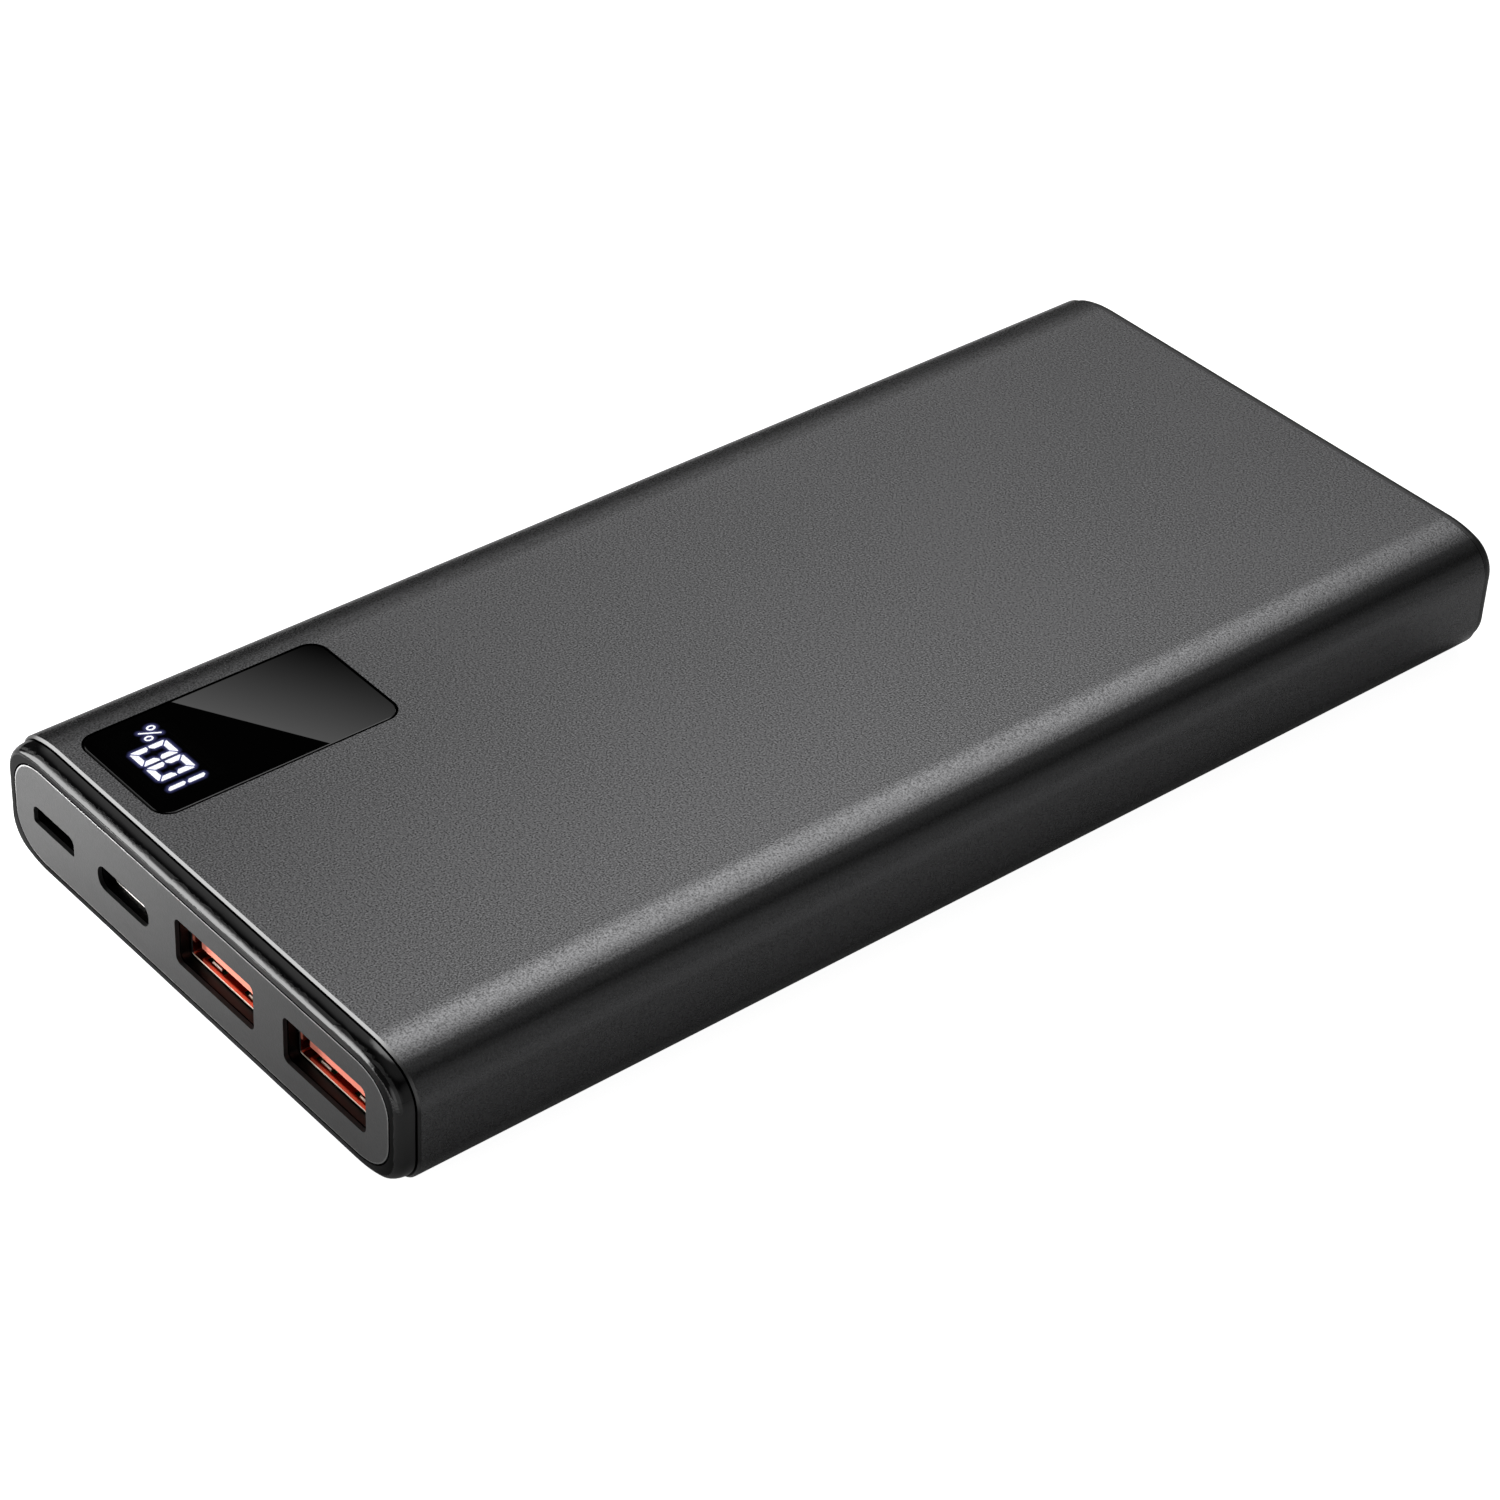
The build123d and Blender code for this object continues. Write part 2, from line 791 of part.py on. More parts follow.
def across_rod(radius, x_from, x_to):
    """Round bar across the body at the switch."""
    low = board_top + switch_size[2] / 2 + pin_gap
    plane = Plane(origin=(x_from, at(button_start), low), x_dir=(0, 1, 0), z_dir=(1, 0, 0))
    return extrude(plane * Circle(radius), x_to - x_from)


def switch_plunger():
    """Push pin that carries the key's travel into the switch."""
    return across_rod(plunger_radius, switch_face_x - plunger_reach, switch_face_x + plunger_reach)


def tact_switch():
    """Side-pushed switch body on the main board."""
    depth, length, height = switch_size
    start = button_start - length / 2
    back = switch_face_x + depth
    body = box(switch_face_x, back, start, start + length, board_top, board_top + height)
    cavity_end = switch_face_x + plunger_reach + button_travel + 3 * dome_thickness
    body -= across_rod(plunger_radius + pin_gap, switch_face_x, switch_face_x + plunger_reach)
    return body - across_rod(dome_radius, switch_face_x + plunger_reach, cavity_end)


def switch_dome():
    """Snap disc at the end of the plunger's travel."""
    start = switch_face_x + plunger_reach + button_travel + dome_thickness
    return across_rod(dome_radius, start, start + 2 * dome_thickness)


# ---- tray, boards and cells ----


def tray_boss(x, distance):
    """Pillar under the main board, kept inside the tray's skin."""
    pillar = upright(Circle(tray_boss_radius), x, distance, tray_inset, board_under)
    return pillar & along(body_outline(tray_inset), tray_start, tray_end)


def bezel_post(x):
    """Post that takes the end of one bezel screw."""
    start = boss_length + slide_gap
    half = tray_boss_radius
    return box(x - half, x + half, start, start + post_length, tray_inset, mid_z + half)


def cell_tray():
    """Moulded cradle: floor, low side walls, board pillars, bezel posts and end wall."""
    tray = along(body_outline(tray_inset), tray_start, tray_end)
    tray -= along(body_outline(tray_floor), tray_start, tray_end - tray_wall)
    tray -= box(-body_width, body_width, tray_start, tray_end, tray_rim_z, body_height)
    half = button_flange[0] / 2 + tray_button_room
    side = -body_width / 2
    low = button_z - button_flange[1]
    inner = side + tray_floor + tray_wall
    tray -= box(side, inner, button_start - half, button_start + half, low, tray_rim_z)
    tray -= micro_room(tray_start, web_back + micro_shell_setback + micro_shell_length + pin_gap)
    for x, distance in board_screw_at:
        tray += tray_boss(x, distance)
        tray -= upright(Circle(screw_radius), x, distance, tray_floor, board_under)
    for x in boss_x:
        tray += bezel_post(x)
        tray -= rod(x, mid_z, screw_radius, boss_length, boss_length + slide_gap + post_length)
    return tray


def main_board():
    """Charging and boost circuit board, notched around the bezel's bosses and the posts."""
    board = box(-board_half_width, board_half_width, board_start, board_end, board_under, board_top)
    half = tray_boss_radius + board_notch_gap
    notch_end = boss_length + slide_gap + post_length + board_notch_gap
    for x in boss_x:
        board -= box(x - half, x + half, board_start, notch_end, board_under, board_top)
    for x, distance in board_screw_at:
        board -= upright(Circle(screw_radius + pin_gap), x, distance, board_under, board_top)
    return board


def pan_screw(length):
    """Pan-head screw, head up, with a cross recess."""
    radius, height = screw_head
    shank = Pos(0, 0, -length / 2) * Cylinder(screw_radius, length)
    head = Pos(0, 0, height / 2) * Cylinder(radius, height)
    head = fillet(head.faces().sort_by(Axis.Z)[-1].edges(), screw_head_round)
    long_side, short_side, depth = screw_recess
    cross = Box(long_side, short_side, depth) + Box(short_side, long_side, depth)
    return shank + (head - Pos(0, 0, height - depth / 2) * cross)


def board_screws():
    """Screws that hold the main board to the tray's pillars."""
    reach = board_top - tray_floor - pin_gap
    return joined([Pos(x, at(distance), board_top) * pan_screw(reach) for x, distance in board_screw_at])


def bezel_screws():
    """Screws behind the panel that hold the bezel to the tray."""
    seat = across(screw_seat)
    return joined([seat * Pos(x, mid_z) * pan_screw(bezel_screw_length) for x in boss_x])


def block_on_board(x, distance, width, length, height):
    """Rectangular component standing on the main board, given by its middle."""
    half, reach = width / 2, length / 2
    return box(x - half, x + half, distance - reach, distance + reach, board_top, board_top + height)


def inductors():
    """Two boost inductors."""
    coils = [block_on_board(x, distance, *inductor_size) for x, distance in inductor_at]
    return joined([fillet(coil.edges().filter_by(Axis.Z), inductor_round) for coil in coils])


def chips():
    """Charge controller, protocol chip and power transistors."""
    size = controller_size
    parts = [block_on_board(x, distance, size, size, chip_height) for x, distance in controller_at]
    first = board_half_width - transistor_inset
    for index in range(transistor_count):
        x = first + index * transistor_pitch
        parts.append(block_on_board(x, transistor_start, *transistor_size, chip_height))
    return joined(parts)


def ceramic_capacitors():
    """Rows of small ceramic capacitors, as many as fit before the controllers."""
    parts = []
    first = ceramic_inset - board_half_width
    last = controller_at[0][0] - controller_size / 2 - ceramic_gap - ceramic_size[0] / 2
    for distance in ceramic_rows:
        for index in range(int((last - first) / ceramic_pitch) + 1):
            parts.append(block_on_board(first + index * ceramic_pitch, distance, *ceramic_size))
    return joined(parts)


def solid_capacitors():
    """Two upright polymer capacitors."""
    top = board_top + can_height
    cans = [upright(Circle(can_radius), x, distance, board_top, top) for x, distance in can_at]
    return joined([fillet(can.faces().sort_by(Axis.Z)[-1].edges(), can_round) for can in cans])


def cell(low):
    """Foil pouch cell with a sealed terrace at the board end."""
    width, length, thickness = cell_size
    pouch = box(-width / 2, width / 2, cell_start, cell_start + length, low, low + thickness)
    pouch = fillet(pouch.edges().filter_by(Axis.Y), cell_round)
    depth, sheet = cell_terrace
    half = width / 2 - terrace_inset
    middle = low + thickness / 2
    return pouch + box(-half, half, cell_start - depth, cell_start, middle - sheet / 2, middle + sheet / 2)


def lower_cell():
    return cell(lower_base)


def upper_cell():
    return cell(upper_base)


def cell_pad():
    """Double-sided tape between the cells."""
    width, length, thickness = cell_size
    half = width / 2 - cell_round
    start, end = cell_start + pad_margin, cell_start + length - pad_margin
    return box(-half, half, start, end, lower_base + thickness, upper_base)


def foam_pads():
    """Foam strips between the upper cell and the sleeve."""
    low = upper_base + cell_size[2]
    start, end = cell_start + pad_margin, cell_start + cell_size[1] - pad_margin
    half = foam_width / 2
    return joined([box(x - half, x + half, start, end, low, low + foam_thickness) for x in foam_x])


def rear_pad():
    """Foam block between the cells and the tray's end wall."""
    half = rear_pad_width / 2
    start = cell_start + cell_size[1]
    return box(-half, half, start, tray_end - tray_wall, tray_floor + rear_pad_lift, tray_rim_z)


def tab(x, terrace_z, board_z, side):
    """L-shaped metal strip from a cell's terrace to one face of the protection board."""
    width, thickness = tab_size
    front = cell_start - cell_terrace[0]
    left, right = x - width / 2, x + width / 2
    riser = box(left, right, front - thickness, front, min(terrace_z, board_z), max(terrace_z, board_z))
    edge = board_z + side * thickness
    return riser + box(left, right, front - tab_foot, front, min(board_z, edge), max(board_z, edge))


def cell_tabs():
    """Two tabs from each cell's terrace to the protection board."""
    high = protection_low + tab_board[2]
    tabs = []
    for x in tab_x:
        tabs.append(tab(x, lower_base + cell_size[2] / 2, protection_low, -1))
        tabs.append(tab(x, upper_base + cell_size[2] / 2, high, 1))
    return joined(tabs)


def protection_board():
    """Strip of circuit board that protects the cells."""
    length, depth, thickness = tab_board
    half = length / 2
    start = cell_start - cell_terrace[0] - depth
    return box(-half, half, start, start + depth, protection_low, protection_low + thickness)


def lead(x):
    """Insulated wire from the protection board down to the main board."""
    start = (x, at(cell_start - cell_terrace[0] - tab_board[1]), protection_low + tab_board[2] / 2)
    end = (x, at(board_end - lead_landing), board_top + lead_radius)
    path = Spline(start, end, tangents=[(0, -1, 0), (0, -1, 0)])
    section = Plane(origin=start, x_dir=(1, 0, 0), z_dir=(0, -1, 0)) * Circle(lead_radius)
    return sweep(section, path=path)


def positive_lead():
    return lead(lead_x[0])


def negative_lead():
    return lead(lead_x[1])


def display_ribbon():
    """Flat cable from the display board down to the main board."""
    width, thickness = ribbon_size
    top = body_height - window_glass - reflector_size[2] - display_board_thickness
    half = width / 2
    return box(window_x - half, window_x + half, ribbon_start, ribbon_start + thickness, board_top, top)


nodes = {
    "sleeve": sleeve,
    "front_bezel": front_bezel,
    "port_panel": port_panel,
    "panel_tape": panel_tape,
    "rear_cap": rear_cap,
    "window_lens": window_lens,
    "window_mask": window_mask,
    "display_reflector": display_reflector,
    "lit_segments": lit_segments,
    "unlit_segments": unlit_segments,
    "display_leds": display_leds,
    "display_board": display_board,
    "display_ribbon": display_ribbon,
    "usb_a_shells": usb_a_shells,
    "usb_a_tongues": usb_a_tongues,
    "usb_a_contacts": usb_a_contacts,
    "usb_c_shell": usb_c_shell_node,
    "usb_c_tongue": usb_c_tongue_node,
    "usb_c_contacts": usb_c_contacts,
    "micro_usb_shell": micro_usb_shell,
    "micro_usb_tongue": micro_usb_tongue,
    "side_button": side_button,
    "switch_plunger": switch_plunger,
    "tact_switch": tact_switch,
    "switch_dome": switch_dome,
    "main_board": main_board,
    "board_screws": board_screws,
    "bezel_screws": bezel_screws,
    "inductors": inductors,
    "chips": chips,
    "ceramic_capacitors": ceramic_capacitors,
    "solid_capacitors": solid_capacitors,
    "cell_tray": cell_tray,
    "lower_cell": lower_cell,
    "upper_cell": upper_cell,
    "cell_pad": cell_pad,
    "foam_pads": foam_pads,
    "rear_pad": rear_pad,
    "cell_tabs": cell_tabs,
    "protection_board": protection_board,
    "positive_lead": positive_lead,
    "negative_lead": negative_lead,
}

os.makedirs("parts", exist_ok=True)
for name, make in nodes.items():
    export_step(make(), f"parts/{name}.step")
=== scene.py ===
import json
import math

import bmesh
import bpy
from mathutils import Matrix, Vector


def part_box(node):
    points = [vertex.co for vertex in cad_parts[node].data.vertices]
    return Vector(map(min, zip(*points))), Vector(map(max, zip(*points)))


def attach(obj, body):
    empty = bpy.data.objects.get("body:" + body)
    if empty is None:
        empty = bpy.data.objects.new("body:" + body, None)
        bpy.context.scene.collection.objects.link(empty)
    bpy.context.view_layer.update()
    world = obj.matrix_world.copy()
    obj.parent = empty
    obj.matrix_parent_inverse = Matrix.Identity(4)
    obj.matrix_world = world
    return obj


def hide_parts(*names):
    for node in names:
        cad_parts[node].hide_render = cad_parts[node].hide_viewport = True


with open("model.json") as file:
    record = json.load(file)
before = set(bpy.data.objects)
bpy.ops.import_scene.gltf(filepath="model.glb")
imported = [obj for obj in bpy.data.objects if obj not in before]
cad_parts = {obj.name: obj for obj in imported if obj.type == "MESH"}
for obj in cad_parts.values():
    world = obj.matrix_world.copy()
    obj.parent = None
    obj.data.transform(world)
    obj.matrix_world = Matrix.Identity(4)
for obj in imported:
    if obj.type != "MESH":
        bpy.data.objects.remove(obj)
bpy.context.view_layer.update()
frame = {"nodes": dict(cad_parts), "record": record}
nodes = frame["nodes"]
scene = bpy.context.scene
print("frame loaded,", len(nodes), "nodes")

mm = 0.001


class Wire:
    # one shader value: + - * / and ** on it add Math nodes
    def __init__(self, finish, socket):
        self.finish = finish
        self.socket = socket

    def maths(self, operation, first, second=None, clamp=False):
        inputs = {0: first} if second is None else {0: first, 1: second}
        settings = {"operation": operation, "use_clamp": clamp}
        return self.finish.take("ShaderNodeMath", 0, settings, inputs)

    def __add__(self, other):
        return self.maths("ADD", self, other)

    def __radd__(self, other):
        return self.maths("ADD", other, self)

    def __sub__(self, other):
        return self.maths("SUBTRACT", self, other)

    def __rsub__(self, other):
        return self.maths("SUBTRACT", other, self)

    def __mul__(self, other):
        return self.maths("MULTIPLY", self, other)

    def __rmul__(self, other):
        return self.maths("MULTIPLY", other, self)

    def __truediv__(self, other):
        return self.maths("DIVIDE", self, other)

    def __rtruediv__(self, other):
        return self.maths("DIVIDE", other, self)

    def __pow__(self, other):
        return self.maths("POWER", self, other)

    def __neg__(self):
        return self.maths("MULTIPLY", self, -1.0)

    def clamped(self):
        # held between 0 and 1
        return self.maths("ADD", self, 0.0, clamp=True)

    def size(self):
        return self.maths("ABSOLUTE", self)

    def above(self, level, soft):
        # 0 well below the level, 1 above it, with a soft step between
        return ((self - (level - soft / 2)) / soft).clamped()

    def between(self, low, high, soft):
        return self.above(low, soft) * (1 - self.above(high, soft))

    def most(self, other):
        return self.maths("MAXIMUM", self, other)


class Finish:
    # a material with one Principled shader; feed() sets or links its sockets
    def __init__(self, name, **constants):
        self.material = bpy.data.materials.new(name)
        self.material.use_nodes = True
        self.tree = self.material.node_tree
        self.tree.nodes.clear()
        self.shader = self.tree.nodes.new("ShaderNodeBsdfPrincipled")
        self.output = self.tree.nodes.new("ShaderNodeOutputMaterial")
        self.show(self.shader.outputs[0])
        for socket, value in constants.items():
            self.feed(socket.replace("_", " "), value)

    def add(self, kind, settings=None, inputs=None):
        # any node: its settings first, then the values or links of its sockets
        made = self.tree.nodes.new(kind)
        for key, value in (settings or {}).items():
            setattr(made, key, value)
        for key, value in (inputs or {}).items():
            self.join(made.inputs[key], value)
        return made

    def take(self, kind, output, settings=None, inputs=None):
        # the same, but gives one output as a Wire
        return Wire(self, self.add(kind, settings, inputs).outputs[output])

    def join(self, socket, value):
        if isinstance(value, Wire):
            self.tree.links.new(value.socket, socket)
        elif isinstance(value, tuple) and len(value) == 3 and socket.type == "RGBA":
            socket.default_value = (*value, 1)
        else:
            socket.default_value = value

    def feed(self, name, value):
        self.join(self.shader.inputs[name], value)

    def layers(self, factor, first, second):
        # the output of a Mix Shader; first and second are shader outputs
        both = self.add("ShaderNodeMixShader", None, {0: factor})
        self.tree.links.new(first, both.inputs[1])
        self.tree.links.new(second, both.inputs[2])
        return both.outputs[0]

    def show(self, surface):
        self.tree.links.new(surface, self.output.inputs["Surface"])

    def place(self):
        # Object coordinates, in metres
        return self.take("ShaderNodeTexCoord", "Object")

    def axes(self, vector):
        split = self.add("ShaderNodeSeparateXYZ", None, {0: vector})
        return [Wire(self, output) for output in split.outputs]

    def facing(self):
        # parts of the true normal along X, Y and Z
        return self.axes(self.take("ShaderNodeNewGeometry", "True Normal"))

    def within(self, node, axes, grow=0.0):
        # 1 inside the node's box along the given axes, grown by some millimetres
        lowest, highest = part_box(node)
        inside = 1.0
        for axis, part in enumerate(self.axes(self.place())):
            if "xyz"[axis] in axes:
                middle = (lowest[axis] + highest[axis]) / 2
                half = (highest[axis] - lowest[axis]) / 2 + grow * mm
                inside = (1 - (part - middle).size().above(half, 0.02 * mm)) * inside
        return inside

    def noise(self, grain, detail=2.0, rough=0.5, stretch=(1, 1, 1)):
        # grain is the size of a fleck in millimetres
        mapped = self.take("ShaderNodeMapping", 0, None, {"Vector": self.place(), "Scale": stretch})
        settings = {"noise_dimensions": "3D"}
        values = {"Vector": mapped, "Scale": 1 / (grain * mm), "Detail": detail, "Roughness": rough}
        return self.take("ShaderNodeTexNoise", "Fac", settings, values)

    def cells(self, grain, distance="EUCLIDEAN"):
        values = {"Vector": self.place(), "Scale": 1 / (grain * mm)}
        return self.take("ShaderNodeTexVoronoi", "Distance", {"distance": distance}, values)

    def mix(self, factor, first, second):
        # a colour mix; numbers are greys
        first, second = [(v, v, v) if isinstance(v, float) else v for v in (first, second)]
        node = self.add("ShaderNodeMix", {"data_type": "RGBA"}, {"Factor": factor})
        colours = [socket for socket in node.inputs if socket.type == "RGBA"]
        self.join(colours[0], first)
        self.join(colours[1], second)
        return Wire(self, [socket for socket in node.outputs if socket.type == "RGBA"][0])

    def tint(self, colour, amount):
        # a colour times a varying number
        values = {0: colour, "Scale": amount}
        return self.take("ShaderNodeVectorMath", 0, {"operation": "SCALE"}, values)

    def bump(self, height, depth):
        # depth in millimetres for a height of 1
        values = {"Height": height, "Distance": depth * mm}
        self.feed("Normal", self.take("ShaderNodeBump", 0, None, values))


def wear(finish, colour, grain, spread, rough, roughSpread, depth):
    # a plain moulded or sheet surface: fine grain in colour, roughness and relief
    fleck = finish.noise(grain)
    cloud = finish.noise(grain * 25, 3.0)
    amount = (fleck - 0.5) * spread + (cloud - 0.5) * spread + 1.0
    finish.feed("Base Color", finish.tint(colour, amount))
    finish.feed("Roughness", (cloud - 0.5) * roughSpread + rough)
    finish.bump(fleck, depth)
    return finish


def sleeveFinish():
    spec = {
        "body": (0.1, 0.1, 0.102),
        "rough": 0.28,
        "grain": 0.2,
        "contrast": 2.5,
        "speck": 0.15,
        "cloud": 0.08,
        "relief": 0.012,
        "sideGrain": 0.3,  # share of the flecks that is left round the sides
        "edge": 0.235,
        "edgeSideShade": 0.04,
        "edgeRough": 0.3,
        "edgeHighlightTurn": (4.6, 3.0),  # how far from mid height the painted highlight on the cut edge starts, and its fade
        # painted shade: the flat end ring inside the chamfer is made near black, so the gap before
        # the bezel reads dark
        "endFaceShade": 0.01,
        "pocket": 0.003,
        "pocketGap": 0.3,
    }
    f = Finish("anodisedSleeve", Metallic=1.0)
    lowest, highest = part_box("sleeve")
    z = f.axes(f.place())[2]
    ny, nz = f.facing()[1:]
    fleck = f.noise(spec["grain"], 0.5)
    speck = f.noise(spec["grain"] * 3.0, 1.0)
    cloud = f.noise(18.0)
    # the flecks show on the broad faces and fade round the sides
    flecked = nz.size().above(0.96, 0.08) * (1 - spec["sideGrain"]) + spec["sideGrain"]
    amount = (fleck - 0.5) * spec["contrast"] * flecked + (speck - 0.5) * spec["speck"]
    grey = f.tint(spec["body"], amount + (cloud - 0.5) * spec["cloud"] + 1.0)
    # the chamfer of the front end, and the flat end inside it
    cut = (-ny).above(0.4, 0.1)
    end = (-ny).above(0.9, 0.05)
    # painted highlight and painted shade: the cut edge is made pale along the broad faces and dark
    # round the sides
    start, soft = spec["edgeHighlightTurn"]
    broad = (z - (lowest.z + highest.z) / 2).size().above(start * mm, soft * mm)
    paintedCutEdge = f.mix(broad, spec["edgeSideShade"], spec["edge"])
    shade = f.mix(end, f.mix(cut, grey, paintedCutEdge), spec["endFaceShade"])
    # painted shade: the walls of the window pocket, seen down the gap round the glass, are painted
    # black
    sunk = 1 - z.above(highest.z - 0.03 * mm, 0.02 * mm)
    paintedPocketShade = f.within("window_lens", "xy", spec["pocketGap"]) * sunk
    f.feed("Base Color", f.mix(paintedPocketShade, shade, spec["pocket"]))
    satin = (fleck - 0.5) * 0.1 + (cloud - 0.5) * 0.04 + spec["rough"]
    f.feed("Roughness", satin * (1 - cut) + cut * spec["edgeRough"])
    f.bump(fleck * (1 - cut) * flecked, spec["relief"])
    return f


def bezelFinish():
    # glossy outside, matt in the passages to the sockets
    spec = {
        "shine": (0.002, 0.002, 0.00216),
        "crownHighlight": 0.15,
        "rough": 0.075,
        "matt": 0.02,
        "mattRough": 0.38,
        "flatShade": 0.7,
        "shadeFade": 0.6,  # how much less painted shade the flat gets towards the right
        "shadeFadeRun": (-24.0, 10.0),
        "corner": 0.7,
        "cornerShadeStart": 29.0,
    }
    f = Finish("glossBlack")
    haze = f.noise(9.0, 3.0)
    fine = f.noise(0.5)
    ny, nz = f.facing()[1:]
    x = f.axes(f.place())[0]
    passage = f.within("port_panel", "xz", -0.6) * (1 - ny.size().above(0.6, 0.2))
    black = f.tint(spec["shine"], haze * 0.5 + 0.75)
    # painted highlight: the upper round of the rim is made metallic and paler than the rest, to
    # show the line of light
    crownHighlight = (-ny).above(0.45, 0.2) * (1 - (-ny).above(0.94, 0.05)) * nz.above(0.2, 0.2)
    f.feed("Base Color", f.mix(passage, f.mix(crownHighlight, black, spec["crownHighlight"]), spec["matt"]))
    f.feed("Metallic", passage.most(crownHighlight))
    polish = haze * 0.01 + spec["rough"]
    f.feed("Roughness", polish * (1 - passage) + passage * spec["mattRough"])
    f.bump(fine, 0.0006)
    # painted shade: the flat of the front is darkened by a mixed-in dark diffuse layer, most on the
    # left and round the right corner
    flat = (-ny).above(0.985, 0.02)
    first, last = spec["shadeFadeRun"]
    shadeFade = ((x - first * mm) / ((last - first) * mm)).clamped() * spec["shadeFade"]
    corner = x.above(spec["cornerShadeStart"] * mm, 8 * mm) * spec["corner"]
    shadeLayer = f.add("ShaderNodeBsdfDiffuse", None, {"Color": (0.002, 0.002, 0.002)})
    flatShade = flat * (corner - shadeFade + spec["flatShade"])
    f.show(f.layers(flatShade, f.shader.outputs[0], shadeLayer.outputs[0]))
    return f


def panelFinish():
    spec = {
        "face": 0.04,
        "rim": 0.06,
        "wall": 0.006,
        "rough": 0.45,
        "grain": 0.2,
        "contrast": 1.1,
        "relief": 0.02,
    }
    f = Finish("panelGrey")
    ny = f.facing()[1]
    fleck = f.noise(spec["grain"], 2.0, 0.6)
    cloud = f.noise(12.0)
    front = (-ny).above(0.93, 0.04)
    inside = 1 - (-ny).above(0.4, 0.05)
    rim = (1 - inside) * (1 - front)
    amount = (fleck - 0.5) * spec["contrast"] + (cloud - 0.5) * 0.06 + 1.0
    # painted shade: the walls inside the openings are made near black
    shade = f.mix(front, spec["wall"], f.tint((spec["face"],) * 3, amount))
    f.feed("Base Color", f.mix(rim, shade, spec["rim"]))
    f.feed("Metallic", rim * 0.9)
    f.feed("Roughness", (fleck - 0.5) * 0.1 + spec["rough"] - rim * 0.12 + inside * 0.4)
    f.bump(fleck, spec["relief"])
    return f


def glassFinish():
    # light comes through only over the digits; elsewhere it is black, from the mask below
    spec = {
        "tint": 0.0012,
        "through": 0.5,
        "frontBevel": 0.016,
        "bevel": 1.0,
        "shadeBevel": 0.001,
        "bevelRough": 0.2,
        "crestHighlight": 0.06,  # height of the painted highlight line along the top of the bevel
        "windowGrow": 1.3,  # the display is seen at a slant through the thickness of the glass
    }
    f = Finish("smokedGlass", IOR=1.5)
    ny, nz = f.facing()[1:]
    z = f.axes(f.place())[2]
    top = nz.above(0.97, 0.02)
    under = (-nz).above(0.97, 0.02)
    slope = nz.above(0.4, 0.1) * (1 - top)
    digits = f.within("display_reflector", "xy", spec["windowGrow"])
    # painted highlight: only the crest of the bevel is made pale, and only faintly on its front;
    # below the crest the bevel is painted dark, as shade
    crestHighlight = z.above(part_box("window_lens")[1].z - spec["crestHighlight"] * mm, 0.02 * mm)
    rim = f.mix((-ny).above(0.4, 0.2), spec["bevel"], spec["frontBevel"])
    rim = f.mix(crestHighlight, spec["shadeBevel"], rim)
    smear = f.noise(7.0, 3.0)
    black = f.tint((spec["tint"],) * 3, smear * 0.4 + 0.8)
    f.feed("Base Color", f.mix(slope, black, rim))
    f.feed("Metallic", slope)
    f.feed("Roughness", slope * spec["bevelRough"])
    smoked = f.add("ShaderNodeBsdfTransparent", None, {"Color": (spec["through"],) * 3})
    clear = f.add("ShaderNodeBsdfTransparent")
    glass = f.add("ShaderNodeAddShader")
    f.tree.links.new(f.shader.outputs[0], glass.inputs[0])
    f.tree.links.new(smoked.outputs[0], glass.inputs[1])
    surface = f.layers(digits * top, f.shader.outputs[0], glass.outputs[0])
    f.show(f.layers(digits * under, surface, clear.outputs[0]))
    return f


def litFinish():
    spec = {"colour": (0.9, 0.92, 1.0), "white": (1.0, 1.0, 1.0), "strength": 2.1}
    f = Finish("litWhite", Roughness=0.5)
    blotch = f.noise(1.4, 1.0)
    f.feed("Base Color", f.tint(spec["colour"], blotch * 0.1 + 0.95))
    f.feed("Emission Color", f.mix(blotch, spec["colour"], spec["white"]))
    f.feed("Emission Strength", spec["strength"])
    return f


def paintedGlowFinish():
    # the painted glow round each segment; "fade" runs from 1 at the segment to 0
    spec = {"outer": (0.28, 0.3, 1.0), "inner": (0.36, 0.38, 1.0), "strength": 12.0, "cover": 0.03}
    f = Finish("paintedGlowFringe", Roughness=0.6)
    fade = f.take("ShaderNodeAttribute", "Fac", {"attribute_name": "fade"})
    f.feed("Base Color", (0.0, 0.0, 0.0))
    f.feed("Emission Color", f.mix(fade, spec["outer"], spec["inner"]))
    # almost clear, so that it adds light and hides nothing
    f.feed("Emission Strength", spec["strength"])
    f.feed("Alpha", fade ** 1.6 * spec["cover"])
    return f


def drawnMetal(f, colour, rough, stretch):
    # streaks along the way it was drawn or rolled; gives back its colour and roughness
    streak = f.noise(0.25, 2.0, 0.6, stretch)
    cloud = f.noise(3.0)
    f.bump(streak, 0.002)
    shade = f.tint(colour, (streak - 0.5) * 0.25 + (cloud - 0.5) * 0.15 + 1.0)
    return shade, (streak - 0.5) * 0.12 + rough


def metalFinish(name, colour, rough, stretch):
    f = Finish(name, Metallic=1.0)
    shade, satin = drawnMetal(f, colour, rough, stretch)
    f.feed("Base Color", shade)
    f.feed("Roughness", satin)
    return f


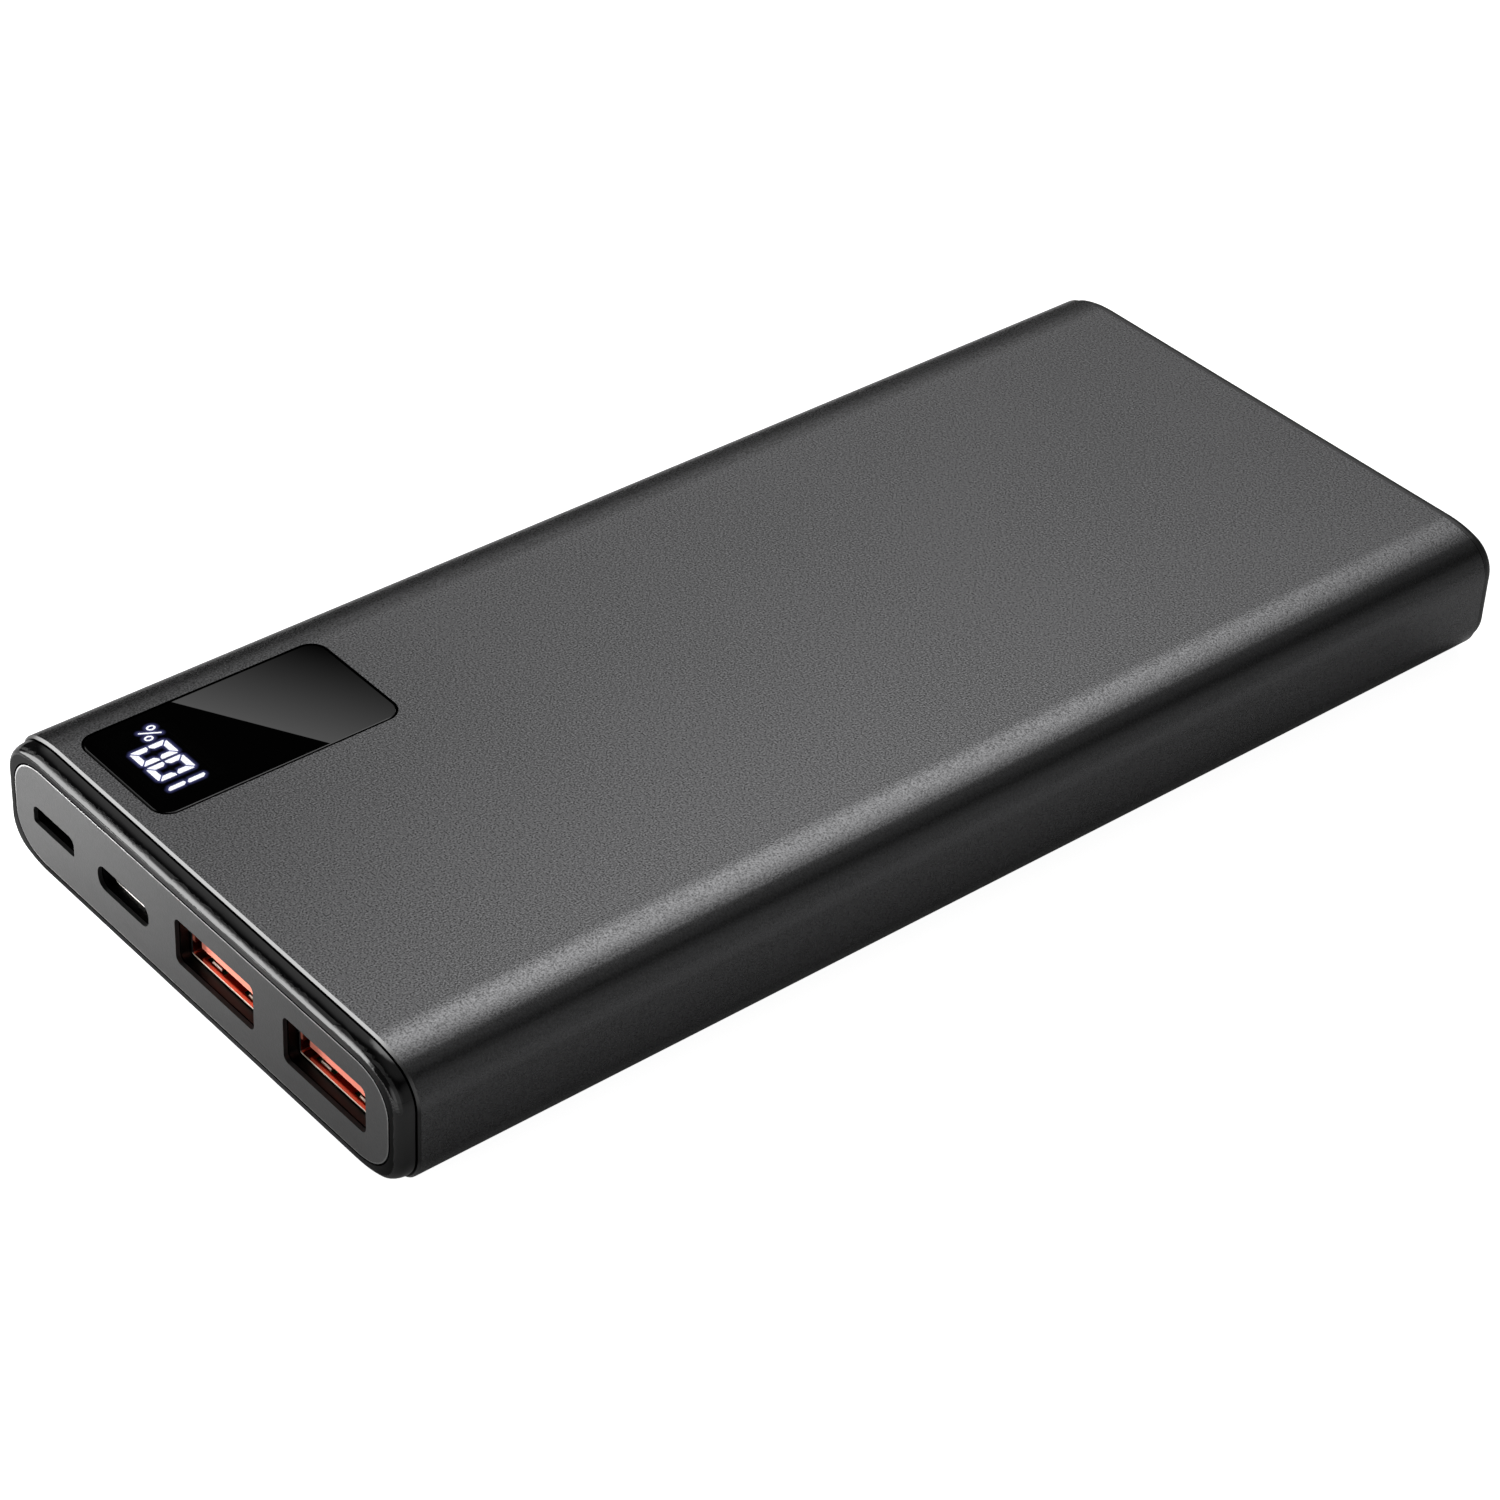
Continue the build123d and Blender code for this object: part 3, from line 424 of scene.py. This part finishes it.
def shellFinish():
    # the sockets' shells: their front edges are painted dark, as shade, with a painted highlight: a
    # pale matt lip along the floor
    spec = {
        "colour": (0.5, 0.44, 0.4),
        "rough": 0.15,
        "front": 0.02,
        "frontRough": 0.25,
        "lipHighlight": (0.85, 0.74, 0.62),
        "lipBand": (0.12, 0.34, 0.04),
        "middleLipHighlight": (1.0, 0.96, 0.92),
        "middleBand": (0.13, 0.33, 0.04),
        "middleHeight": 3.16,  # of the middle socket's shell, above its feet
        "tongueReflection": (0.6, 0.19, 0.12),
        "tongueReflectionHeight": 1.5,
    }
    f = Finish("nickelSteel", Metallic=1.0)
    shade, satin = drawnMetal(f, spec["colour"], spec["rough"], (1, 0.08, 1))
    ny, nz = f.facing()[1:]
    z = f.axes(f.place())[2]
    front = (-ny).above(0.9, 0.1)
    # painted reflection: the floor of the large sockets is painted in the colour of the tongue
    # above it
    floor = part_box("usb_a_shells")[0].z
    low = 1 - z.above(floor + spec["tongueReflectionHeight"] * mm, 0.1 * mm)
    tongueReflection = nz.above(0.6, 0.2) * f.within("usb_a_shells", "x") * low
    shade = f.mix(tongueReflection, shade, spec["tongueReflection"])
    start, end, soft = [length * mm for length in spec["lipBand"]]
    lipHighlight = z.between(floor + start, floor + end, soft)
    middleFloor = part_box("usb_c_shell")[1].z - spec["middleHeight"] * mm
    start, end, soft = [length * mm for length in spec["middleBand"]]
    middleLipHighlight = z.between(middleFloor + start, middleFloor + end, soft)
    middleLipHighlight = middleLipHighlight * f.within("usb_c_shell", "x")
    edges = f.mix(middleLipHighlight, f.mix(lipHighlight, spec["front"], spec["lipHighlight"]), spec["middleLipHighlight"])
    f.feed("Base Color", f.mix(front, shade, edges))
    f.feed("Metallic", 1 - front * 0.7)
    f.feed("Roughness", satin + front * spec["frontRough"])
    return f


def tongueFinish():
    # the front face is the lit orange; the top and underside get a darker copy of it, a painted
    # shade
    spec = {"cut": (0.95, 0.3, 0.22), "moulded": (0.65, 0.095, 0.045), "rough": 0.3}
    f = Finish("orangeTongue")
    ny = f.facing()[1]
    fine = f.noise(0.2)
    front = (-ny).above(0.6, 0.1)
    face = f.tint(spec["cut"], fine * 0.08 + 0.96)
    f.feed("Base Color", f.mix(front, spec["moulded"], face))
    f.feed("Roughness", fine * 0.1 + spec["rough"])
    f.bump(fine, 0.003)
    return f


def boardFinish():
    spec = {"mask": (0.012, 0.075, 0.035), "copper": (0.03, 0.14, 0.06), "pitch": 1.1}
    f = Finish("circuitBoard", Roughness=0.35)
    flat = f.facing()[2].size().above(0.9, 0.05)
    track = f.cells(spec["pitch"], "CHEBYCHEV").above(0.42, 0.06) * flat
    f.feed("Base Color", f.mix(track, spec["mask"], spec["copper"]))
    f.bump(track, 0.03)
    return f


def foilFinish():
    spec = {"colour": (0.6, 0.6, 0.62), "crease": 6.0, "grain": 0.6, "rough": 0.22, "relief": 0.12}
    f = Finish("cellFoil", Metallic=0.9)
    crease = f.noise(spec["crease"], 4.0, 0.6)
    fine = f.noise(spec["grain"])
    f.feed("Base Color", f.tint(spec["colour"], crease * 0.25 + 0.85))
    f.feed("Roughness", crease * 0.2 + spec["rough"])
    f.bump(crease + fine * 0.15, spec["relief"])
    return f


def foamFinish():
    spec = {"pore": (0.03, 0.03, 0.03), "skin": (0.15, 0.15, 0.155), "grain": 0.45, "relief": 0.15}
    f = Finish("greyFoam", Roughness=0.95)
    pores = f.cells(spec["grain"])
    f.feed("Base Color", f.mix(pores, spec["pore"], spec["skin"]))
    f.bump(pores, spec["relief"])
    return f


def dressCadNodes():
    plain = {
        # slot: colour, fleck size, spread, roughness, its spread, relief
        "cap_black": ((0.014, 0.014, 0.0145), 0.3, 0.5, 0.42, 0.1, 0.008),
        "black_sheet": ((0.001, 0.001, 0.001), 0.4, 0.4, 0.85, 0.1, 0.0005),
        "unlit_grey": ((0.006, 0.006, 0.008), 0.3, 0.3, 0.4, 0.1, 0.002),
        "led_chip": ((0.75, 0.68, 0.35), 0.2, 0.2, 0.4, 0.1, 0.004),
        "ribbon_film": ((0.3, 0.14, 0.03), 0.8, 0.3, 0.3, 0.15, 0.01),
        "black_tongue": ((0.015, 0.015, 0.016), 0.2, 0.4, 0.35, 0.1, 0.004),
        "switch_black": ((0.02, 0.02, 0.021), 0.25, 0.4, 0.45, 0.1, 0.006),
        "tray_black": ((0.022, 0.022, 0.024), 0.5, 0.4, 0.5, 0.15, 0.012),
        "chip_black": ((0.012, 0.012, 0.013), 0.15, 0.5, 0.5, 0.1, 0.006),
        "ceramic_tan": ((0.42, 0.28, 0.15), 0.2, 0.3, 0.45, 0.1, 0.006),
        "white_tape": ((0.78, 0.77, 0.74), 0.4, 0.15, 0.75, 0.1, 0.02),
        "red_wire": ((0.55, 0.012, 0.012), 0.4, 0.15, 0.4, 0.1, 0.01),
        "black_wire": ((0.012, 0.012, 0.012), 0.4, 0.3, 0.4, 0.1, 0.01),
    }
    made = {
        "anodised_sleeve": sleeveFinish(),
        "gloss_black": bezelFinish(),
        "panel_grey": panelFinish(),
        "smoked_glass": glassFinish(),
        "lit_white": litFinish(),
        "circuit_board": boardFinish(),
        "nickel_steel": shellFinish(),
        "orange_tongue": tongueFinish(),
        "gold_contact": metalFinish("goldContact", (0.85, 0.6, 0.22), 0.22, (1, 0.1, 1)),
        "screw_steel": metalFinish("screwSteel", (0.42, 0.42, 0.43), 0.35, (1, 1, 1)),
        "can_metal": metalFinish("canMetal", (0.75, 0.75, 0.77), 0.25, (1, 1, 0.1)),
        "ferrite": wear(
            Finish("ferrite", Metallic=0.1), (0.1, 0.1, 0.105), 0.3, 0.5, 0.6, 0.2, 0.02
        ),
        "cell_foil": foilFinish(),
        "grey_foam": foamFinish(),
    }
    for slot, values in plain.items():
        made[slot] = wear(Finish(slot), *values)
    for slot in ("black_sheet", "unlit_grey"):
        made[slot].feed("Specular IOR Level", 0.0)
    for part in frame["record"]["subparts"]:
        for place in nodes[part["node"]].material_slots:
            place.material = made[part["material_slot"]].material
    # the walls between the digits are as dark as the mask
    for place in nodes["display_reflector"].material_slots:
        place.material = made["black_sheet"].material
    return made


finishes = dressCadNodes()


def finishPiece(name, form, finish):
    # every new piece rides on the case
    mesh = bpy.data.meshes.new(name)
    form.to_mesh(mesh)
    form.free()
    piece = bpy.data.objects.new(name, mesh)
    scene.collection.objects.link(piece)
    mesh.materials.append(finish.material)
    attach(piece, "case")
    return piece


def mergedCopy(node):
    # a bmesh of the node's own shape, with the points of its loose triangles joined
    form = bmesh.new()
    form.from_mesh(nodes[node].data)
    bmesh.ops.remove_doubles(form, verts=form.verts, dist=0.0005 * mm)
    return form


def pointsOf(made):
    return [item for item in made if isinstance(item, bmesh.types.BMVert)]


def originOf(v, origins):
    # the point that an extruded point came from
    return [edge.other_vert(v) for edge in v.link_edges if edge.other_vert(v) in origins][0]


def turnFaces(form, direction):
    # turn round the faces of a flat shape that look away from a direction
    bmesh.ops.triangulate(form, faces=form.faces[:])
    form.normal_update()
    away = [face for face in form.faces if face.normal.dot(Vector(direction)) < 0]
    bmesh.ops.reverse_faces(form, faces=away)


def smoothCopy(node, finish):
    # the node's own shape, with shading that runs on over its round edges
    spec = {"crease": 28}
    piece = finishPiece(node + "_skin", mergedCopy(node), finish)
    mesh = piece.data
    if "custom_normal" in mesh.attributes:
        mesh.attributes.remove(mesh.attributes["custom_normal"])
    mesh.shade_smooth()
    mesh.set_sharp_from_angle(angle=math.radians(spec["crease"]))
    even = piece.modifiers.new("even", "WEIGHTED_NORMAL")
    even.mode = "FACE_AREA"
    even.keep_sharp = True
    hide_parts(node)
    return piece


def paintedGlowFringe():
    # a painted glow: a thin emitting ring that stands in for the light that leaks round each lit
    # segment, just inside the glass
    spec = {"width": 0.5, "lift": 0.004, "depth": 0.05, "sharpest": 0.5}
    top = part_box("lit_segments")[1].z
    form = mergedCopy("lit_segments")
    low = [v for v in form.verts if v.co.z < top - spec["depth"] * mm]
    bmesh.ops.delete(form, geom=low, context="VERTS")
    fade = form.verts.layers.float.new("fade")
    outward = {}
    for v in form.verts:
        v[fade] = 1.0
        sides = []
        for edge in v.link_edges:
            if edge.is_boundary:
                loop = edge.link_loops[0]
                line = (loop.link_loop_next.vert.co - loop.vert.co).normalized()
                sides.append(Vector((line.y, -line.x, 0)))
        if len(sides) == 2:
            share = max(1 + sides[0].dot(sides[1]), spec["sharpest"])
            outward[v] = (sides[0] + sides[1]) / share
    segments = list(form.faces)
    rim = [edge for edge in form.edges if edge.is_boundary]
    for v in pointsOf(bmesh.ops.extrude_edge_only(form, edges=rim)["geom"]):
        v.co += outward[originOf(v, outward)] * spec["width"] * mm
        v[fade] = 0.0
    bmesh.ops.delete(form, geom=segments, context="FACES_ONLY")
    turnFaces(form, (0, 0, 1))
    print("fringe faces", len(form.faces))
    bmesh.ops.translate(form, verts=form.verts, vec=(0, 0, spec["lift"] * mm))
    return finishPiece("painted_glow_fringe", form, paintedGlowFinish())


def panelBand(name, inner, outer, finish):
    # a flat hairline that follows the plate's outline, between two distances beyond it
    spec = {"chamfer": 0.07, "lift": 0.006, "near": 0.01}
    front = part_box("port_panel")[0].y
    form = mergedCopy("port_panel")
    # only the outline behind the plate's chamfer is kept
    outline = front + spec["chamfer"] * mm
    off = [v for v in form.verts if abs(v.co.y - outline) > spec["near"] * mm]
    bmesh.ops.delete(form, geom=off, context="VERTS")
    middle = sum((v.co for v in form.verts), Vector()) / len(form.verts)
    outward = {}
    for v in form.verts:
        sides = []
        for edge in v.link_edges:
            line = (edge.verts[1].co - edge.verts[0].co).normalized()
            side = Vector((line.z, 0, -line.x))
            sides.append(side if side.dot(v.co - middle) > 0 else -side)
        outward[v] = sum(sides, Vector()).normalized()
    for v in pointsOf(bmesh.ops.extrude_edge_only(form, edges=form.edges[:])["geom"]):
        v.co += outward[originOf(v, outward)] * outer * mm
    for v in outward:
        v.co += outward[v] * inner * mm
    for v in form.verts:
        v.co.y = front - spec["lift"] * mm
    turnFaces(form, (0, -1, 0))
    print(name, "faces", len(form.faces))
    return finishPiece(name, form, finish)


def springTips():
    # the raised tips of the spring fingers in the floor of each large socket, painted pale as a
    # painted highlight
    spec = {
        "size": (1.5, 0.1, 0.17),
        "offset": 3.15,
        "half": 6.55,  # half the width of one shell
        "setback": 0.74,
        "floor": 0.3,
    }
    low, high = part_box("usb_a_shells")
    depth, height = spec["size"][1:]
    form = bmesh.new()
    for middle in (low.x + spec["half"] * mm, high.x - spec["half"] * mm):
        for side in (-1, 1):
            cube = bmesh.ops.create_cube(form, size=1.0)["verts"]
            bmesh.ops.scale(form, verts=cube, vec=Vector(spec["size"]) * mm)
            place = (
                middle + side * spec["offset"] * mm,
                low.y + (spec["setback"] + depth / 2) * mm,
                low.z + (spec["floor"] + height / 2) * mm,
            )
            bmesh.ops.translate(form, verts=cube, vec=place)
    tipHighlight = Finish("paintedSpringTipHighlight", Metallic=0.3)
    wear(tipHighlight, (0.85, 0.78, 0.68), 0.2, 0.15, 0.35, 0.1, 0.004)
    return finishPiece("spring_tips", form, tipHighlight)


def plateEdgeHighlightFinish():
    # a painted highlight of the plate's cut edge: painted paler along the top than round the sides
    # and below
    spec = {"low": 0.1, "high": 0.31, "middle": 10.0, "soft": 5.0}
    f = Finish("paintedPlateEdgeHighlight", Roughness=0.4)
    scratch = f.noise(0.4)
    paintedLitTop = f.axes(f.place())[2].above(spec["middle"] * mm, spec["soft"] * mm)
    shade = f.mix(paintedLitTop, spec["low"], spec["high"])
    f.feed("Base Color", f.tint(shade, scratch * 0.2 + 0.9))
    f.bump(scratch, 0.002)
    return f


# painted shade: a near black flat band just beyond the plate's outline stands for the shaded groove
# between plate and bezel
paintedGrooveShade = Finish("paintedGrooveShade", Specular_IOR_Level=0.0)
wear(paintedGrooveShade, (0.001, 0.001, 0.001), 0.3, 0.3, 0.9, 0.05, 0.001)
# painted highlight: a pale flat band laid over the plate's edge
panelBand("panel_line_highlight", -0.06, 0.08, plateEdgeHighlightFinish())
panelBand("panel_groove_shade", 0.08, 0.28, paintedGrooveShade)
springTips()
smoothCopy("sleeve", finishes["anodised_sleeve"])
smoothCopy("front_bezel", finishes["gloss_black"])
paintedGlowFringe()
print("pieces made")


def makeCamera():
    spec = {
        "aim": (0.0, -0.81, 8.0),
        "turn": 49.574,
        "height": 36.668,
        "roll": 2.254,
        "distance": 451.8,
        "slide": (9.892, 4.435),
        "lens": 101.417,
        "shift": (0.04685, -0.01321),  # shares of the picture's width
    }
    turn, height, roll = [math.radians(spec[key]) for key in ("turn", "height", "roll")]
    level = Vector((math.cos(turn), math.sin(turn), 0))
    ahead = Vector((math.sin(turn), -math.cos(turn), 0))
    back = math.cos(height) * ahead + Vector((0, 0, math.sin(height)))
    upright = back.cross(level)
    right = math.cos(roll) * level + math.sin(roll) * upright
    up = math.cos(roll) * upright - math.sin(roll) * level
    across, over = spec["slide"]
    centre = Vector(spec["aim"]) + spec["distance"] * back - across * right - over * up
    data = bpy.data.cameras.new("camera")
    data.lens = spec["lens"]
    data.sensor_width = 36
    data.shift_x, data.shift_y = spec["shift"]
    data.clip_start, data.clip_end = 0.01, 50
    camera = bpy.data.objects.new("camera", data)
    scene.collection.objects.link(camera)
    matrix = camera.matrix_world.to_3x3()
    matrix.col[0], matrix.col[1], matrix.col[2] = right, up, back
    camera.matrix_world = matrix.to_4x4()
    camera.location = centre * mm
    scene.camera = camera
    bpy.context.view_layer.update()
    return camera


camera = makeCamera()
print("camera at", [round(v, 4) for v in camera.location])


def makeFloor():
    spec = {
        "radius": 12.0,
        "drop": 0.02,  # a hair below the body, so that the two never share a plane
        "colour": 0.8,
        "own": 0.93,  # the white that shows to the camera and through the glass
        "mirrored": 0.0,  # share of it that mirrors show; at 0 they show only the lit colour
    }
    form = bmesh.new()
    bmesh.ops.create_circle(form, cap_ends=True, segments=96, radius=spec["radius"])
    bmesh.ops.translate(form, verts=form.verts, vec=(0, 0, -spec["drop"] * mm))
    mesh = bpy.data.meshes.new("floor")
    form.to_mesh(mesh)
    form.free()
    floor = bpy.data.objects.new("floor", mesh)
    scene.collection.objects.link(floor)
    f = Finish("paleFloor", Roughness=0.9, Specular_IOR_Level=0.0)
    f.feed("Base Color", (spec["colour"],) * 3)
    path = f.add("ShaderNodeLightPath")
    seen, glossy, through = [
        Wire(f, path.outputs["Is " + kind + " Ray"])
        for kind in ("Camera", "Glossy", "Transmission")
    ]
    shows = seen.most(through).most(glossy * spec["mirrored"])
    f.feed("Emission Color", f.mix(shows, 0.0, 1.0))
    f.feed("Emission Strength", spec["own"])
    mesh.materials.append(f.material)
    return floor


def softbox(name, place, aim, size, level, spread):
    # an area lamp that mirrors don't show; level is the brightness of its face seen
    # square on, where 1 is white
    data = bpy.data.lights.new(name, "AREA")
    data.shape = "RECTANGLE"
    data.size, data.size_y = size
    data.spread = math.radians(spread)
    half = math.radians(spread) / 2
    narrowing = math.tan(half) / (math.tan(half) - half) if spread < 180 else 1
    data.energy = level * math.pi * size[0] * size[1] / narrowing
    lamp = bpy.data.objects.new(name, data)
    scene.collection.objects.link(lamp)
    lamp.location = place
    lamp.rotation_mode = "QUATERNION"
    lamp.rotation_quaternion = (Vector(aim) - Vector(place)).to_track_quat("-Z", "Y")
    lamp.visible_glossy = False
    lamp.visible_camera = False
    return lamp


def glowCard(name, quads, level, grade):
    # a card that only mirrors show: quads of points and their u, v, lit by grade(u, v)
    form = bmesh.new()
    layer = form.loops.layers.uv.new("grade")
    for points, marks in quads:
        face = form.faces.new([form.verts.new(p) for p in points])
        for loop, mark in zip(face.loops, marks):
            loop[layer].uv = mark
    mesh = bpy.data.meshes.new(name)
    form.to_mesh(mesh)
    form.free()
    card = bpy.data.objects.new(name, mesh)
    scene.collection.objects.link(card)
    f = Finish(name + "Glow", Roughness=1.0, Specular_IOR_Level=0.0)
    f.feed("Base Color", (0.0, 0.0, 0.0))
    u, v = f.axes(f.take("ShaderNodeUVMap", 0, {"uv_map": "grade"}))[:2]
    f.feed("Emission Color", f.mix(grade(u, v), 0.0, 1.0))
    f.feed("Emission Strength", level)
    mesh.materials.append(f.material)
    card.visible_camera = False
    card.visible_diffuse = False
    card.visible_shadow = False
    card.visible_transmission = False
    return card


def bezelCard():
    # the tall soft light ahead on the left that draws the line along the bezel
    spec = {"turn": (-164, -112), "height": (0.0, 50.0), "distance": 0.9, "level": 3.0}
    aim = Vector((0, -0.07, 0.01))

    def corner(turn, height):
        a, b = math.radians(turn), math.radians(height)
        return aim + spec["distance"] * Vector((math.cos(a), math.sin(a), math.tan(b)))

    def grade(u, v):
        # full in the middle, fading to both ends and to the top
        return (1 - v.above(0.64, 0.34)) * (1 - (u * 2 - 1).size().above(0.85, 0.3))

    marks = [(0, 0), (1, 0), (1, 1), (0, 1)]
    points = [corner(spec["turn"][u], spec["height"][v]) for u, v in marks]
    return glowCard("bezelCard", [(points, marks)], spec["level"], grade)


def windowCard():
    # a dim graded card that shows as the slanting sheen on the display glass
    spec = {
        "leftShare": 0.385,  # where the sheen's edge meets each side of the glass
        "rightShare": 0.694,
        "reach": 8.0,
        "ends": 5.0,
        "dark": 22.0,
        "pale": 16.0,
        "fall": 1.5,
        "level": 1.2,
    }
    lowest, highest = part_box("window_lens")
    top = highest.z
    eye = camera.matrix_world.translation
    mirrored = Vector((eye.x, eye.y, 2 * top - eye.z))
    length = highest.y - lowest.y
    left = Vector((lowest.x, lowest.y + spec["leftShare"] * length, top))
    right = Vector((highest.x, lowest.y + spec["rightShare"] * length, top))
    along = (right - left).normalized()
    across = Vector((-along.y, along.x, 0))
    start, end = left - along * spec["ends"] * mm, right + along * spec["ends"] * mm
    quads = []
    for depth, side in ((-spec["dark"], 0.0), (spec["pale"], 1.0)):
        quad = [start, end, end + across * depth * mm, start + across * depth * mm]
        points = [mirrored + spec["reach"] * (p - mirrored) for p in quad]
        quads.append((points, [(side, v) for v in (0, 0, 1, 1)]))

    def grade(side, depth):
        # lit on the pale side only, most at the sheen's edge
        return (1 - depth) ** spec["fall"] * side

    return glowCard("windowCard", quads, spec["level"], grade)


def makeWorld():
    # a dim studio with soft pale patches: the direction of each, the angles where
    # it starts and ends to fade, and its level
    spec = {
        "horizon": 0.04,
        "overhead": 0.03,
        "fade": (0.0, 0.3),
        "patches": [
            ((-0.57, 0.47, 0.67), 2, 28, 0.71),
            ((-0.37, 0.48, 0.8), 7, 17, 3.8),
            ((0.93, 0.37, 0.03), 9, 49, 0.33),
            ((0.07, 0.36, 0.93), 9, 37, 0.26),
            ((-0.74, 0.5, 0.44), 2, 17, 0.32),
            ((0.78, -0.58, 0.22), 5, 38, 0.5),
        ],
    }
    world = bpy.data.worlds.new("studio")
    scene.world = world
    world.use_nodes = True
    tree = world.node_tree
    tree.nodes.clear()

    def add(kind, **settings):
        node = tree.nodes.new(kind)
        for key, value in settings.items():
            setattr(node, key, value)
        return node

    ray = add("ShaderNodeTexCoord").outputs["Generated"]
    split = add("ShaderNodeSeparateXYZ")
    tree.links.new(ray, split.inputs[0])
    level = add("ShaderNodeMapRange", interpolation_type="SMOOTHSTEP")
    tree.links.new(split.outputs["Z"], level.inputs["Value"])
    ends = (*spec["fade"], spec["horizon"], spec["overhead"])
    for key, value in zip(("From Min", "From Max", "To Min", "To Max"), ends):
        level.inputs[key].default_value = value
    total = level.outputs["Result"]
    for direction, inner, outer, strength in spec["patches"]:
        dot = add("ShaderNodeVectorMath", operation="DOT_PRODUCT")
        tree.links.new(ray, dot.inputs[0])
        dot.inputs[1].default_value = Vector(direction).normalized()
        fade = add("ShaderNodeMapRange", interpolation_type="SMOOTHSTEP")
        tree.links.new(dot.outputs["Value"], fade.inputs["Value"])
        ends = (math.cos(math.radians(outer)), math.cos(math.radians(inner)), 0.0, strength)
        for key, value in zip(("From Min", "From Max", "To Min", "To Max"), ends):
            fade.inputs[key].default_value = value
        both = add("ShaderNodeMath", operation="ADD")
        tree.links.new(total, both.inputs[0])
        tree.links.new(fade.outputs["Result"], both.inputs[1])
        total = both.outputs[0]
    background = add("ShaderNodeBackground")
    output = add("ShaderNodeOutputWorld")
    tree.links.new(total, background.inputs["Strength"])
    tree.links.new(background.outputs[0], output.inputs["Surface"])


def lightStudio():
    makeFloor()
    makeWorld()
    windowCard()
    bezelCard()
    lamps = {
        # name: place, aim, size, level, spread
        # broad, above on the left: lights the floor, whose shade falls off towards the body
        "floorLamp": ((-0.6, 0.1, 0.6), (0, 0, 0), (0.6, 0.6), 2.4, 180),
        # small, near the port end: brightens the left of the panel
        "panelLamp": ((-0.055, -0.125, 0.012), (-0.01, -0.075, 0.008), (0.03, 0.016), 80.0, 120),
        # straight ahead: reaches into the sockets
        "socketLamp": ((0.05, -0.35, 0.06), (0.0, -0.075, 0.008), (0.1, 0.1), 10.0, 40),
    }
    for name, values in lamps.items():
        softbox(name, *values)


lightStudio()
scene.view_settings.view_transform = "Standard"
print("stage and lamps set")
